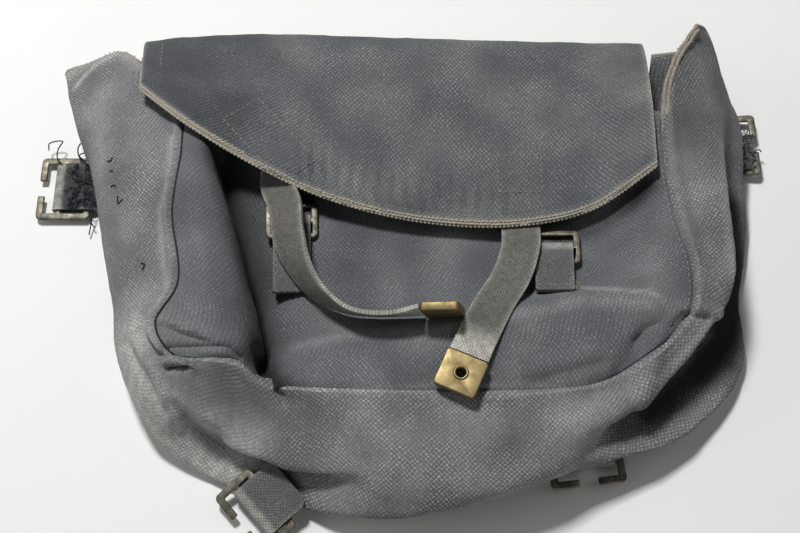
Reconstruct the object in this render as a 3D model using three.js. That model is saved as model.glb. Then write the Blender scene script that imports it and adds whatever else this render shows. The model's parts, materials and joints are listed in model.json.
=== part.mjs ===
// A small military pack of cotton webbing, empty and slack, lying on its back.
// Millimetres. +X is the wearer's left to right as the front is read, +Y runs from the base to the mouth,
// +Z is up out of the front. The origin is on the flat back, at the middle of its rest face.
import * as THREE from 'three';

// Driving sizes
const CLOTH = 2.0;                // webbing of the walls
const STRAP_THICKNESS = 2.2;      // webbing of the closing straps
const STRAP_WIDTH = 20;
const BRASS = 2.2;                // sheet of the hooks and buckles
const GAP = 0.3;                  // left between pieces that are sewn together or touch
const SEAM = 0.8;                 // how far a wall stops short of its seam line
const FLOOR_MID = CLOTH / 2;      // middle height of a wall that lies on the surface
const BACK_TOP = 116;             // the back's straight top edge, where the flap starts

// Each gusset section runs from its seam with the back, over a low bulge, a waist and a high bulge, to its
// seam with the front. Rows go from the ear's free end down to the pack's bottom corner.
const GUSSET_COLUMNS = ['back', 'low', 'waist', 'high', 'front'];
const GUSSET_LEFT = [
  { at: 'ear', back: [-170, 112, 6], low: [-197, 130, 18],
    waist: [-181, 131, 28], high: [-162, 133, 36], front: [-147, 120, 45] },
  { at: 'mouth', back: [-137, 92, 1], low: [-187, 95, 13],
    waist: [-172, 93, 34], high: [-150, 88, 51], front: [-120, 80, 58] },
  { at: 'upper', back: [-137, 55, 1], low: [-174, 60, 14],
    waist: [-164, 59, 36], high: [-143, 57, 54], front: [-117, 55, 62] },
  { at: 'middle', back: [-137, 18, 1], low: [-166, 20, 14],
    waist: [-158, 20, 36], high: [-140, 18, 54], front: [-119, 17, 62] },
  { at: 'lower', back: [-136, -22, 1], low: [-156, -20, 14],
    waist: [-150, -20, 36], high: [-134, -21, 54], front: [-113, -24, 62] },
  { at: 'knee', back: [-134, -62, 1], low: [-147, -60, 14],
    waist: [-143, -56, 34], high: [-135, -50, 50], front: [-123, -46, 60] },
  { at: 'corner', back: [-114, -88, 1], low: [-130, -96, 11],
    waist: [-127, -88, 28], high: [-120, -74, 46], front: [-113, -61, 57] },
];
const GUSSET_RIGHT = [
  { at: 'tip', back: [146, 133, 33], low: [170, 134, 40],
    waist: [177, 131, 50], high: [171, 132, 60], front: [164, 128, 70] },
  { at: 'ear', back: [145, 112, 8], low: [188, 106, 20],
    waist: [185, 104, 38], high: [172, 102, 57], front: [148, 102, 68] },
  { at: 'mouth', back: [144, 90, 1], low: [195, 94, 19],
    waist: [187, 91, 34], high: [172, 86, 54], front: [143, 78, 60] },
  { at: 'upper', back: [146, 58, 1], low: [194.5, 60, 15],
    waist: [183, 60, 32], high: [175, 58, 50], front: [143, 50, 54] },
  { at: 'middle', back: [146, 22, 1], low: [193, 24, 9],
    waist: [176, 24, 30], high: [175, 24, 49], front: [146, 16, 53] },
  { at: 'lower', back: [146, -16, 1], low: [189, -14, 8],
    waist: [168, -14, 26], high: [174, -15, 47], front: [152, -12, 52] },
  { at: 'knee', back: [140, -40, 1], low: [183, -50, 8],
    waist: [158, -46, 24], high: [163, -45, 45], front: [148, -36, 50] },
  { at: 'corner', back: [116, -48, 1], low: [148, -94.5, 19],
    waist: [124, -80, 24], high: [122, -86, 40], front: [113, -66, 47] },
];

// The front's inner columns: the ridge beside the left seam, the narrow gap below it, the foot of the gap,
// the middle and the right shoulder. Rows go from the mouth edge to the seam with the base.
const FRONT_COLUMNS = ['ridge', 'gap', 'foot', 'middle', 'shoulder'];
const FRONT = [
  { at: 'mouth', ridge: [-108, 92, 54], gap: [-99, 95, 47], foot: [-86, 97, 44],
    middle: [0, 102, 43], shoulder: [92, 96, 46] },
  { at: 'upper', ridge: [-104, 54, 61], gap: [-98, 53, 30], foot: [-86, 52, 39],
    middle: [0, 50, 40], shoulder: [92, 50, 43] },
  { at: 'middle', ridge: [-92, 14, 61], gap: [-87, 13, 16], foot: [-74, 12, 34],
    middle: [2, 12, 37], shoulder: [95, 14, 43] },
  { at: 'lower', ridge: [-84, -16, 60], gap: [-79, -16, 14], foot: [-66, -16, 33.5],
    middle: [6, -16, 37], shoulder: [100, -10, 46] },
  { at: 'knee', ridge: [-76, -46, 59], gap: [-71, -46, 18], foot: [-58, -46, 38.5],
    middle: [8, -42, 48], shoulder: [97, -27, 51] },
  { at: 'pillow', ridge: [-75, -58, 57], gap: [-69, -59, 35], foot: [-57, -61, 44.5],
    middle: [6, -59, 53], shoulder: [96, -52, 53] },
  { at: 'base', ridge: [-82, -63, 55], gap: [-70, -71, 46], foot: [-58, -73, 46],
    middle: [5, -77, 49], shoulder: [92, -74, 48] },
];

// The base's inner sections, from left to right, one below each inner column of the front.
const BASE_COLUMNS = ['back', 'low', 'waist', 'high'];
const BASE = [
  { below: 'ridge', back: [-84, -86, 1], low: [-93, -116, 4.5],
    waist: [-84, -96, 10], high: [-84, -97, 32] },
  { below: 'gap', back: [-70, -88, 1], low: [-76, -121, 4.2],
    waist: [-70, -100, 9.8], high: [-69, -103, 31.5] },
  { below: 'foot', back: [-56, -90, 1], low: [-58, -125, 4],
    waist: [-55, -104, 9.5], high: [-54, -108, 31] },
  { below: 'middle', back: [5, -106, 1], low: [3, -135.5, 27],
    waist: [4, -131, 34], high: [5, -115, 44] },
  { below: 'shoulder', back: [90, -54, 1], low: [94, -116.5, 27],
    waist: [93, -111, 34], high: [92, -98.5, 44] },
];

// The flap, a row for each line that runs from its joint with the back, over the fold, to its front edge.
const FLAP = [
  { startX: -136, foldX: -145, foldY: 133, foldZ: 46,
    midZ: 58, edgeX: -141, edgeY: 90, edgeZ: 65 },
  { startX: -108, foldX: -112, foldY: 137, foldZ: 47,
    midZ: 62, edgeX: -112, edgeY: 65, edgeZ: 68 },
  { startX: -74, foldX: -76, foldY: 139, foldZ: 46,
    midZ: 59, edgeX: -76, edgeY: 45, edgeZ: 62 },
  { startX: -38, foldX: -38, foldY: 139, foldZ: 45,
    midZ: 54, edgeX: -38, edgeY: 28, edgeZ: 54 },
  { startX: 8, foldX: 8, foldY: 138, foldZ: 45,
    midZ: 53, edgeX: 10, edgeY: 14, edgeZ: 52 },
  { startX: 58, foldX: 57, foldY: 136, foldZ: 45,
    midZ: 53, edgeX: 60, edgeY: 11, edgeZ: 52.5 },
  { startX: 98, foldX: 97, foldY: 134, foldZ: 46,
    midZ: 55, edgeX: 101, edgeY: 18, edgeZ: 54 },
  { startX: 138, foldX: 138, foldY: 132, foldZ: 48,
    midZ: 61, edgeX: 137, edgeY: 43, edgeZ: 61 },
];
const FLAP_HEEL = { y: 131, z: 6 };   // where the flap leaves the surface
const FLAP_REAR = { y: 141, z: 24 };  // the furthest point of its fold

// Creases pressed into the walls: a line in plan, its half width, and its height, below zero for a groove.
const CREASES = [
  { name: 'right pillow fold', from: [124, -50], to: [108, -100], halfWidth: 9, height: 4 },
  { name: 'left corner pinch', from: [-112, -42], to: [-88, -50], halfWidth: 8, height: -4 },
  { name: 'left base crumple', from: [-132, -62], to: [-112, -84], halfWidth: 7, height: 3 },
  { name: 'base valley', from: [-50, -86], to: [-18, -114], halfWidth: 12, height: -4 },
];

const CREASE_START = 26;          // height where creases begin to show
const CREASE_FULL = 38;

// Closing straps: the middle of the webbing, and the direction across it from left to right.
const STRAP_LEFT = [
  { middle: [-64, 58, 50.5], across: [1, 0, 0] },
  { middle: [-66, 40, 51], across: [0.98, 0.1, 0.15] },
  { middle: [-61, 24, 54.8], across: [0.88, 0.1, 0.42] },
  { middle: [-58, 4, 55.5], across: [0.78, 0, 0.6] },
  { middle: [-51, -13, 53.5], across: [0.5, 0, 0.87] },
  { middle: [-40, -26, 53], across: [0.25, -0.12, 0.96] },
  { middle: [-26, -34.5, 55], across: [0.08, -0.3, 0.95] },
  { middle: [-7, -38.5, 58], across: [0, -0.34, 0.94] },
  { middle: [11, -39.5, 61.5], across: [-0.2, -0.2, 0.96] },
];
const STRAP_RIGHT = [
  { middle: [66, 36, 49], across: [1, 0.05, 0] },
  { middle: [64, 14, 49], across: [1, 0.05, 0.02] },
  { middle: [63, 0, 53], across: [1, 0, 0.04] },
  { middle: [57, -18, 54], across: [0.98, -0.2, 0.02] },
  { middle: [48, -33, 55], across: [0.95, -0.32, 0] },
  { middle: [38.5, -53, 58], across: [0.92, -0.4, 0] },
  { middle: [34.5, -62, 57.5], across: [0.92, -0.4, 0] },
];
const TIP = { width: 22, length: 20, thickness: 4.2, corner: 2, eyelet: 2.6 };

// Brass hook: a frame with a middle bar for the webbing and an outer bar that is open in the middle.
const HOOK = { height: 40, bar: 4, middleBar: 3, outerSlot: 7, innerSlot: 13, openGap: 10, corner: 3 };
const HOOK_TAB = { width: 29, tail: 22, layer: 1.4 };
const BASE_HOOK = { ...HOOK, innerSlot: 6 };  // the two at the bottom corners are shorter
// Brass buckle on the front: the same frame, smaller and closed.
const BUCKLE = { height: 28, bar: 3, middleBar: 2.6, outerSlot: 6.6, innerSlot: 6, openGap: 0, corner: 3.5 };
const BUCKLE_TAB = { width: 20, tail: 32, layer: 1.3 };
const LONG_TAB = { ...BUCKLE_TAB, tail: 60 };
const LOOP_CLEARANCE = 0.4;
const SLOT_STEP = 0.5;            // a closed frame's outer slot is this much shorter at each end

// Where each frame's middle bar is, which way its outer bar points in plan, and its tip and roll.
const HARDWARE = [
  { name: 'front_buckle_left', tab: 'front_tab_left', frame: BUCKLE, loop: LONG_TAB,
    at: [-58, 20, 43.6], heading: 92, tip: 4.5, roll: 2 },
  { name: 'front_buckle_right', tab: 'front_tab_right', frame: BUCKLE, loop: BUCKLE_TAB,
    at: [81, 2, 47.4], heading: 88, tip: -9, roll: -4 },
  { name: 'side_hook_left', tab: 'side_tab_left', frame: HOOK, loop: HOOK_TAB,
    at: [-196, 61, 4.2], heading: 180, tip: 0, roll: 0 },
  { name: 'side_hook_right', tab: 'side_tab_right', frame: HOOK, loop: HOOK_TAB,
    at: [197, 89, 5.5], heading: 0, tip: 6, roll: 0 },
  { name: 'base_hook_left', tab: 'base_tab_left', frame: BASE_HOOK, loop: HOOK_TAB,
    at: [-73.5, -128.5, 8], heading: 220, tip: -15, roll: -5 },
  { name: 'base_hook_right', tab: 'base_tab_right', frame: BASE_HOOK, loop: HOOK_TAB,
    at: [97, -102, 5.5], heading: 277, tip: -3, roll: 0 },
];

// Materials
const webbing = new THREE.MeshStandardMaterial({ color: '#6b6e71', roughness: 0.95, metalness: 0 });
const darkWebbing = new THREE.MeshStandardMaterial({ color: '#585c62', roughness: 0.95, metalness: 0 });
const strapWebbing = new THREE.MeshStandardMaterial({ color: '#77766f', roughness: 0.95, metalness: 0 });
const brass = new THREE.MeshStandardMaterial({ color: '#8f8158', roughness: 0.45, metalness: 1 });

const vector = (point) => new THREE.Vector3(...point);
const along = (points, t) => new THREE.CatmullRomCurve3(points).getPoint(t);
const mix = THREE.MathUtils.lerp;
const rail = (rows, column) => new THREE.CatmullRomCurve3(rows.map((row) => vector(row[column])));

// Cloth never goes through the surface that it lies on.
function lie(point) {
  return point.setZ(Math.max(point.z, FLOOR_MID));
}

// A surface through rows of sections: u runs across the named columns, v along the rows.
function loft(rows, columns) {
  const rails = columns.map((column) => rail(rows, column));
  return (u, v) => lie(along(rails.map((line) => line.getPoint(v)), u));
}

// The sum of all creases at a point of the upper walls: the walls near the surface stay plain.
function creaseHeight(point) {
  const share = THREE.MathUtils.smoothstep(point.z, CREASE_START, CREASE_FULL);
  let height = 0;
  for (const crease of CREASES) {
    const line = new THREE.Line3(new THREE.Vector3(...crease.from, 0), new THREE.Vector3(...crease.to, 0));
    const flat = new THREE.Vector3(point.x, point.y, 0);
    const nearest = line.closestPointToPoint(flat, true, new THREE.Vector3());
    const away = nearest.distanceTo(flat) / crease.halfWidth;
    height += crease.height * Math.exp(-away * away);
  }
  return height * share;
}

// How far a parameter has to move to go a given distance along the surface from one of its edges.
function step(surface, from, towards, distance) {
  const small = 0.01;
  const start = surface(from.u, from.v);
  const next = surface(mix(from.u, towards.u, small), mix(from.v, towards.v, small));
  return Math.min(0.3, (distance * small) / start.distanceTo(next));
}

// The same surface stopped short of its seams, by a distance at each edge.
function trim(surface, { u0 = 0, u1 = 0, v0 = 0, v1 = 0 }) {
  return (u, v) => {
    const near = v0 ? step(surface, { u, v: 0 }, { u, v: 1 }, v0) : 0;
    const far = v1 ? step(surface, { u, v: 1 }, { u, v: 0 }, v1) : 0;
    const row = mix(near, 1 - far, v);
    const left = u0 ? step(surface, { u: 0, v: row }, { u: 1, v: row }, u0) : 0;
    const right = u1 ? step(surface, { u: 1, v: row }, { u: 0, v: row }, u1) : 0;
    return surface(mix(left, 1 - right, u), row);
  };
}

function normalAt(surface, u, v) {
  const small = 0.004;
  const across = surface(Math.min(1, u + small), v).sub(surface(Math.max(0, u - small), v));
  const down = surface(u, Math.min(1, v + small)).sub(surface(u, Math.max(0, v - small)));
  return across.cross(down).normalize();
}

// A wall of cloth: a thin box whose grid is laid along a surface.
function wall(surface, columns, rows, thickness = CLOTH) {
  const geometry = new THREE.BoxGeometry(1, 1, 1, columns, rows, 1);
  const position = geometry.attributes.position;
  for (let i = 0; i < position.count; i += 1) {
    const u = position.getX(i) + 0.5;
    const v = position.getY(i) + 0.5;
    const side = position.getZ(i) * thickness;
    const point = surface(u, v).addScaledVector(normalAt(surface, u, v), side);
    position.setXYZ(i, point.x, point.y, point.z);
  }
  return geometry;
}

function extrude(shape, depth) {
  return new THREE.ExtrudeGeometry(shape, { depth, bevelEnabled: false, curveSegments: 4 });
}

function mesh(name, geometry, material) {
  const piece = new THREE.Mesh(geometry, material);
  piece.name = name;
  return piece;
}

// Body surfaces
const gussetLeft = loft(GUSSET_LEFT, GUSSET_COLUMNS);
const gussetRight = loft(GUSSET_RIGHT, GUSSET_COLUMNS);
const rowShare = (rows, name) => rows.findIndex((row) => row.at === name) / (rows.length - 1);
const MOUTH_LEFT = rowShare(GUSSET_LEFT, 'mouth');
const MOUTH_RIGHT = rowShare(GUSSET_RIGHT, 'mouth');
const frontRails = FRONT_COLUMNS.map((column) => rail(FRONT, column));

function front(u, v) {
  const left = gussetLeft(1, mix(MOUTH_LEFT, 1, v));
  const right = gussetRight(1, mix(MOUTH_RIGHT, 1, v));
  return along([left, ...frontRails.map((line) => line.getPoint(v)), right], u);
}

const baseRails = BASE_COLUMNS.map((column) => new THREE.CatmullRomCurve3([
  vector(GUSSET_LEFT.at(-1)[column]),
  ...BASE.map((row) => vector(row[column])),
  vector(GUSSET_RIGHT.at(-1)[column]),
]));

function base(u, v) {
  return lie(along([...baseRails.map((line) => line.getPoint(v)), front(v, 1)], u));
}

// Creases press a wall up or down along its own normal.
function creased(surface, sense) {
  return (u, v) => {
    const point = surface(u, v);
    return point.addScaledVector(normalAt(surface, u, v), sense * creaseHeight(point));
  };
}

function flap(u, v) {
  const lines = FLAP.map((line) => along([
    new THREE.Vector3(line.startX, BACK_TOP, FLOOR_MID),
    new THREE.Vector3(mix(line.startX, line.foldX, 0.3), FLAP_HEEL.y, FLAP_HEEL.z),
    new THREE.Vector3(mix(line.startX, line.foldX, 0.7), FLAP_REAR.y, FLAP_REAR.z),
    new THREE.Vector3(line.foldX, line.foldY, line.foldZ),
    new THREE.Vector3(mix(line.foldX, line.edgeX, 0.5), mix(line.foldY, line.edgeY, 0.5), line.midZ),
    new THREE.Vector3(line.edgeX, line.edgeY, line.edgeZ),
  ], v));
  return along(lines, u);
}

// The back lies flat inside the seams of the gussets and the base.
function backOutline() {
  const steps = 14;
  const points = [];
  for (let i = 0; i <= steps; i += 1) points.push(gussetLeft(0, mix(MOUTH_LEFT, 1, i / steps)));
  for (let i = 1; i < steps; i += 1) points.push(base(0, i / steps));
  for (let i = steps; i >= 0; i -= 1) points.push(gussetRight(0, mix(MOUTH_RIGHT, 1, i / steps)));
  points.push(new THREE.Vector3(FLAP.at(-1).startX, BACK_TOP - GAP, 0));
  points.push(new THREE.Vector3(FLAP[0].startX, BACK_TOP - GAP, 0));
  const count = points.length;
  return points.map((point, i) => {
    const before = points[(i + count - 1) % count];
    const after = points[(i + 1) % count];
    const run = after.clone().sub(before).setZ(0).normalize();
    const inset = point.y > BACK_TOP - 1 ? 0 : SEAM;
    return new THREE.Vector2(point.x - run.y * inset, point.y + run.x * inset);
  });
}

const backShape = new THREE.Shape(backOutline());
const backGeometry = extrude(backShape, CLOTH);

// A strap: a thin box whose length follows the middles and whose width follows the directions across.
function strap(rows, columns, steps) {
  const middles = new THREE.CatmullRomCurve3(rows.map((row) => vector(row.middle)));
  const across = new THREE.CatmullRomCurve3(rows.map((row) => vector(row.across)));
  const ribbon = (u, v) => {
    const side = across.getPoint(v).normalize();
    return middles.getPoint(v).addScaledVector(side, (u - 0.5) * STRAP_WIDTH);
  };
  return wall(ribbon, columns, steps, STRAP_THICKNESS);
}

function roundedRect(width, height, corner, path = new THREE.Shape()) {
  const x = width / 2;
  const y = height / 2;
  path.absarc(x - corner, -y + corner, corner, -Math.PI / 2, 0);
  path.absarc(x - corner, y - corner, corner, 0, Math.PI / 2);
  path.absarc(-x + corner, y - corner, corner, Math.PI / 2, Math.PI);
  path.absarc(-x + corner, -y + corner, corner, Math.PI, Math.PI * 1.5);
  return path;
}

// The brass tip continues its strap: its length runs on from the last middle.
function strapTip(rows, hasEyelet) {
  const shape = roundedRect(TIP.length, TIP.width, TIP.corner);
  if (hasEyelet) {
    shape.holes.push(new THREE.Path().absarc(0, 0, TIP.eyelet, 0, Math.PI * 2));
  }
  const geometry = extrude(shape, TIP.thickness);
  geometry.translate(0, 0, -TIP.thickness / 2);
  const last = rows.at(-1);
  const onwards = vector(last.middle).sub(vector(rows.at(-2).middle)).normalize();
  const across = vector(last.across).normalize();
  const up = onwards.clone().cross(across).normalize();
  const sideways = up.clone().cross(onwards);
  const turn = new THREE.Matrix4().makeBasis(onwards, sideways, up);
  const centre = vector(last.middle).addScaledVector(onwards, TIP.length / 2 + 2 * GAP);
  geometry.applyMatrix4(turn.setPosition(centre));
  return geometry;
}

// The x places of a frame, with the middle bar at zero and the outer bar ahead of it.
function framePlaces(frame) {
  const half = frame.middleBar / 2;
  return { half, slot: half + frame.outerSlot, outer: half + frame.outerSlot + frame.bar,
    inner: -half - frame.innerSlot, tail: -half - frame.innerSlot - frame.bar };
}

function rectanglePath(x0, x1, y0, y1) {
  return new THREE.Path([[x0, y0], [x1, y0], [x1, y1], [x0, y1]].map((point) => new THREE.Vector2(...point)));
}

function frameGeometry(frame) {
  const { half, slot, outer, inner, tail } = framePlaces(frame);
  const y = frame.height / 2;
  const bar = y - frame.bar;
  const c = frame.corner;
  const shape = new THREE.Shape();
  shape.absarc(outer - c, -y + c, c, -Math.PI / 2, 0);
  if (frame.openGap) {
    const gap = frame.openGap / 2;
    for (const [x, place] of [[outer, -gap], [slot, -gap], [slot, -bar], [half, -bar], [half, bar],
      [slot, bar], [slot, gap], [outer, gap]]) shape.lineTo(x, place);
  } else {
    shape.holes.push(rectanglePath(half, slot, SLOT_STEP - bar, bar - SLOT_STEP));
  }
  shape.absarc(outer - c, y - c, c, 0, Math.PI / 2);
  shape.absarc(tail + c, y - c, c, Math.PI / 2, Math.PI);
  shape.absarc(tail + c, -y + c, c, Math.PI, Math.PI * 1.5);
  shape.holes.push(rectanglePath(inner, -half, -bar, bar));
  const geometry = extrude(shape, BRASS);
  return geometry.translate(0, 0, -BRASS / 2);
}

// Webbing sewn into a loop: both layers pass round the middle bar and either side of the inner bar.
function loopGeometry(frame, loop) {
  const { half, tail } = framePlaces(frame);
  const hollow = BRASS / 2 + LOOP_CLEARANCE;
  const outside = hollow + loop.layer;
  const round = half + LOOP_CLEARANCE + loop.layer;
  const end = tail - LOOP_CLEARANCE - loop.tail / 2;
  const shape = new THREE.Shape();
  shape.moveTo(end, -loop.layer);
  shape.lineTo(tail - LOOP_CLEARANCE - loop.layer, -outside);
  shape.lineTo(round - loop.layer, -outside);
  shape.quadraticCurveTo(round, -outside, round, 0);
  shape.quadraticCurveTo(round, outside, round - loop.layer, outside);
  shape.lineTo(tail - LOOP_CLEARANCE - loop.layer, outside);
  shape.lineTo(end, loop.layer);
  shape.holes.push(rectanglePath(tail - LOOP_CLEARANCE, half + LOOP_CLEARANCE, -hollow, hollow));
  const geometry = extrude(shape, loop.width);
  return geometry.translate(0, 0, -loop.width / 2).rotateX(Math.PI / 2);
}

const pack = new THREE.Group();
const frontSurface = trim(creased(front, -1), { u0: SEAM, u1: SEAM, v1: SEAM });
const baseSurface = trim(creased(base, -1), { u0: SEAM, u1: SEAM, v0: SEAM, v1: SEAM });
const leftSurface = trim(creased(gussetLeft, 1), { u0: SEAM, u1: SEAM, v1: SEAM });
const rightSurface = trim(creased(gussetRight, -1), { u0: SEAM, u1: SEAM, v1: SEAM });

pack.add(mesh('back_panel', backGeometry, webbing));
pack.add(mesh('front_panel', wall(frontSurface, 24, 18), webbing));
pack.add(mesh('gusset_left', wall(leftSurface, 10, 18), webbing));
pack.add(mesh('gusset_right', wall(rightSurface, 12, 20), webbing));
pack.add(mesh('base_panel', wall(baseSurface, 16, 24), webbing));
pack.add(mesh('flap', wall(trim(flap, { v0: GAP }), 24, 18), darkWebbing));
pack.add(mesh('closing_strap_left', strap(STRAP_LEFT, 2, 26), strapWebbing));
pack.add(mesh('closing_strap_right', strap(STRAP_RIGHT, 2, 18), strapWebbing));
pack.add(mesh('strap_tip_left', strapTip(STRAP_LEFT, false), brass));
pack.add(mesh('strap_tip_right', strapTip(STRAP_RIGHT, true), brass));

const DEGREE = Math.PI / 180;
for (const item of HARDWARE) {
  const holder = new THREE.Group();
  holder.position.set(...item.at);
  holder.rotation.set(item.roll * DEGREE, -item.tip * DEGREE, item.heading * DEGREE, 'ZYX');
  holder.add(mesh(item.name, frameGeometry(item.frame), brass));
  holder.add(mesh(item.tab, loopGeometry(item.frame, item.loop), strapWebbing));
  pack.add(holder);
}

export default pack;
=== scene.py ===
# %% [markdown]
# # A small webbing pack, lying on its back
# The pack is empty and slack: a flat back, a slumped front, one long strip of webbing that makes both
# sides and the base, a flap that has slid askew, and brass fittings held in sewn webbing loops. The
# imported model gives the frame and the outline. Every cloth wall is laid again here on a finer grid,
# so that folds, seams and wear can follow the cloth.

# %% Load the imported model
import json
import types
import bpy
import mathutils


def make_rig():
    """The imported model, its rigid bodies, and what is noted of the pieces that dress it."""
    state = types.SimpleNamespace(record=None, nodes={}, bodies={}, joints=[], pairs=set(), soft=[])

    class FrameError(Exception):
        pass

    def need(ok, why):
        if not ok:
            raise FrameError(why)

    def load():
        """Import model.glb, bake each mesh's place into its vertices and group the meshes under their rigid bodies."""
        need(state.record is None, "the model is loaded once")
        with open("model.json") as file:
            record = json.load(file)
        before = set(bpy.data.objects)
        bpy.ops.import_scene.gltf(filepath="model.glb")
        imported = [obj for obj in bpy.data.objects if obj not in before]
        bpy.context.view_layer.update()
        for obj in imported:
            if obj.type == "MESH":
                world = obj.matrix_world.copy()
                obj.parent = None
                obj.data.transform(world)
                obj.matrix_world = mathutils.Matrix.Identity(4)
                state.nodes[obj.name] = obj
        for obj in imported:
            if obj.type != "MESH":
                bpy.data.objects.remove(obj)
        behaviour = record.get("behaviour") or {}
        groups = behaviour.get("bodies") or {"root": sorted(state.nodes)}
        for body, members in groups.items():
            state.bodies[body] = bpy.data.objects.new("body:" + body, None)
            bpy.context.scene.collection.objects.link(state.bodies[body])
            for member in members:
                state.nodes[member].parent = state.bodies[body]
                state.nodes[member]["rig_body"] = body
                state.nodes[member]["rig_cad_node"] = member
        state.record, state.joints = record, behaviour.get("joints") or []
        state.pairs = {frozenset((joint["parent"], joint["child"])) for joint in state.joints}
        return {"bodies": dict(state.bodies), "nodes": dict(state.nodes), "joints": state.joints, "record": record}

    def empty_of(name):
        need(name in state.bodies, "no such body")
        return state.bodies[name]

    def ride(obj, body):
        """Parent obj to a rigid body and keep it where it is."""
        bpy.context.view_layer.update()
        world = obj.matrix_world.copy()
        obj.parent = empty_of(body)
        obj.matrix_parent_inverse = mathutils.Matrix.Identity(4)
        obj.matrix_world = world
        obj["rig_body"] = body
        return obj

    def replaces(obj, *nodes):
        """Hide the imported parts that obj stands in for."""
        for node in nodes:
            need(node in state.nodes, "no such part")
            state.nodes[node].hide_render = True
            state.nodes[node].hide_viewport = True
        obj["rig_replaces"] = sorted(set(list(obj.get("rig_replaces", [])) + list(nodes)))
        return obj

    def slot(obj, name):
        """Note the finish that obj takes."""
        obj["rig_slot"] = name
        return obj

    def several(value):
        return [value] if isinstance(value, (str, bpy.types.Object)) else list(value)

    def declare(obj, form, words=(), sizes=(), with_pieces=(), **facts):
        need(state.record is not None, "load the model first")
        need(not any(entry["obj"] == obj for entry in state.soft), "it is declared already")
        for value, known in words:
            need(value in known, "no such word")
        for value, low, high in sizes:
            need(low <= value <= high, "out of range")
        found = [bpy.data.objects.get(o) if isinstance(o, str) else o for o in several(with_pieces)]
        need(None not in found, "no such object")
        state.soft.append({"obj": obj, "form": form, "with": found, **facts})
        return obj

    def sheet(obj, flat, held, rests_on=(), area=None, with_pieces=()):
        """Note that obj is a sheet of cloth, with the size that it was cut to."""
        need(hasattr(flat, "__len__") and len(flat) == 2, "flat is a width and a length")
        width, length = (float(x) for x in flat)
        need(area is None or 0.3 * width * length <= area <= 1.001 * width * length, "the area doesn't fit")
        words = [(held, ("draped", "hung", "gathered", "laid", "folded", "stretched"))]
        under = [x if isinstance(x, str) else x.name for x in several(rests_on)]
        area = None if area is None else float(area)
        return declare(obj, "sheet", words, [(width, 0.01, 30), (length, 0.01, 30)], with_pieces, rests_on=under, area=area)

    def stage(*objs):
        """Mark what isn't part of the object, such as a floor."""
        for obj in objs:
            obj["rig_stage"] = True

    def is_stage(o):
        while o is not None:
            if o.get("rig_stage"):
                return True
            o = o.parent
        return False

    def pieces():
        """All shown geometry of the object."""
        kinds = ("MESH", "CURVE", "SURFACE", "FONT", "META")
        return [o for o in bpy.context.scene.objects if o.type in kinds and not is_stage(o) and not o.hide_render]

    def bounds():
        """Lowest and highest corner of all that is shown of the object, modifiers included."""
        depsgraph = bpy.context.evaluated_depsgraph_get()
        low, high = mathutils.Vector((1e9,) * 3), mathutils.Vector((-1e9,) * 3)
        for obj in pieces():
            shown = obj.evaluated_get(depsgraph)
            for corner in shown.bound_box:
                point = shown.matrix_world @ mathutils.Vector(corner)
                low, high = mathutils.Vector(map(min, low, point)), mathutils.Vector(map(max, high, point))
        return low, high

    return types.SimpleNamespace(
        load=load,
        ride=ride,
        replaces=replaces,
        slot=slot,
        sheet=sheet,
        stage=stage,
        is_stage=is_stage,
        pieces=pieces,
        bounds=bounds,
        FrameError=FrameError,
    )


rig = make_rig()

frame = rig.load()

import json
import math
import random
from collections import namedtuple

import bmesh
import bpy
from mathutils import Matrix, Vector, noise
from mathutils.bvhtree import BVHTree

MM = 0.001
cad_low, cad_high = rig.bounds()
print("nodes in the frame:", len(frame["nodes"]))

# %% [markdown]
# ## Camera, floor and light
# The pack is seen from its base end, steeply from above. One strong lamp stands high behind its upper
# left, so that shadows fall short to the right and towards the viewer. Wide weak lamps, one low before
# the pack and one at each side, and a dim surround fill them.

# %% Camera
AIM = Vector((0, 0, 29)) * MM
ELEVATION = math.radians(65)
DISTANCE = 680 * MM
LENS = 56.7


def put(name, data):
    """Make an object of some data and put it in the scene."""
    thing = bpy.data.objects.new(name, data)
    bpy.context.collection.objects.link(thing)
    return thing


camera = put("camera", bpy.data.cameras.new("camera"))
camera.data.lens = LENS
camera.data.sensor_width = 36
camera.location = AIM + DISTANCE * Vector((0, -math.cos(ELEVATION), math.sin(ELEVATION)))
camera.rotation_euler = (AIM - camera.location).to_track_quat("-Z", "Y").to_euler()
bpy.context.scene.camera = camera
bpy.context.scene.view_settings.view_transform = "Standard"
print("camera at", [round(c, 3) for c in camera.location])

# %% Lamps
LAMPS = [
    {"name": "key", "at": (-0.30, 0.52, 1.28), "size": 0.22, "power": 20.2},
    {"name": "low", "at": (0.15, -1.15, 0.42), "size": 0.8, "power": 2.6},
    {"name": "left", "at": (-1.05, -0.10, 0.70), "size": 0.8, "power": 3.2},
    {"name": "right", "at": (0.90, 0.15, 0.80), "size": 0.8, "power": 1.4},
]
for row in LAMPS:
    lamp = put(row["name"], bpy.data.lights.new(row["name"], "AREA"))
    lamp.data.size = row["size"]
    lamp.data.energy = row["power"]
    lamp.location = row["at"]
    lamp.rotation_euler = (AIM - lamp.location).to_track_quat("-Z", "Y").to_euler()
world = bpy.data.worlds.new("surround")
world.use_nodes = True
world.node_tree.nodes["Background"].inputs["Color"].default_value = (1.0, 0.99, 0.97, 1)
world.node_tree.nodes["Background"].inputs["Strength"].default_value = 0.02
bpy.context.scene.world = world
print("lamps:", [row["name"] for row in LAMPS])

# %% [markdown]
# ## Colours and nodes
# Colours are written as the eye reads them, in sRGB, and one function turns them to the linear values
# that a shader needs. Another adds a node with its settings and whatever goes into it.


# %% Helpers for materials
def linear(code):
    """A hex colour as linear red, green, blue and alpha."""
    parts = [int(code[i:i + 2], 16) / 255 for i in (1, 3, 5)]
    return tuple(c / 12.92 if c <= 0.04045 else ((c + 0.055) / 1.055) ** 2.4 for c in parts) + (1.0,)


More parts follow.
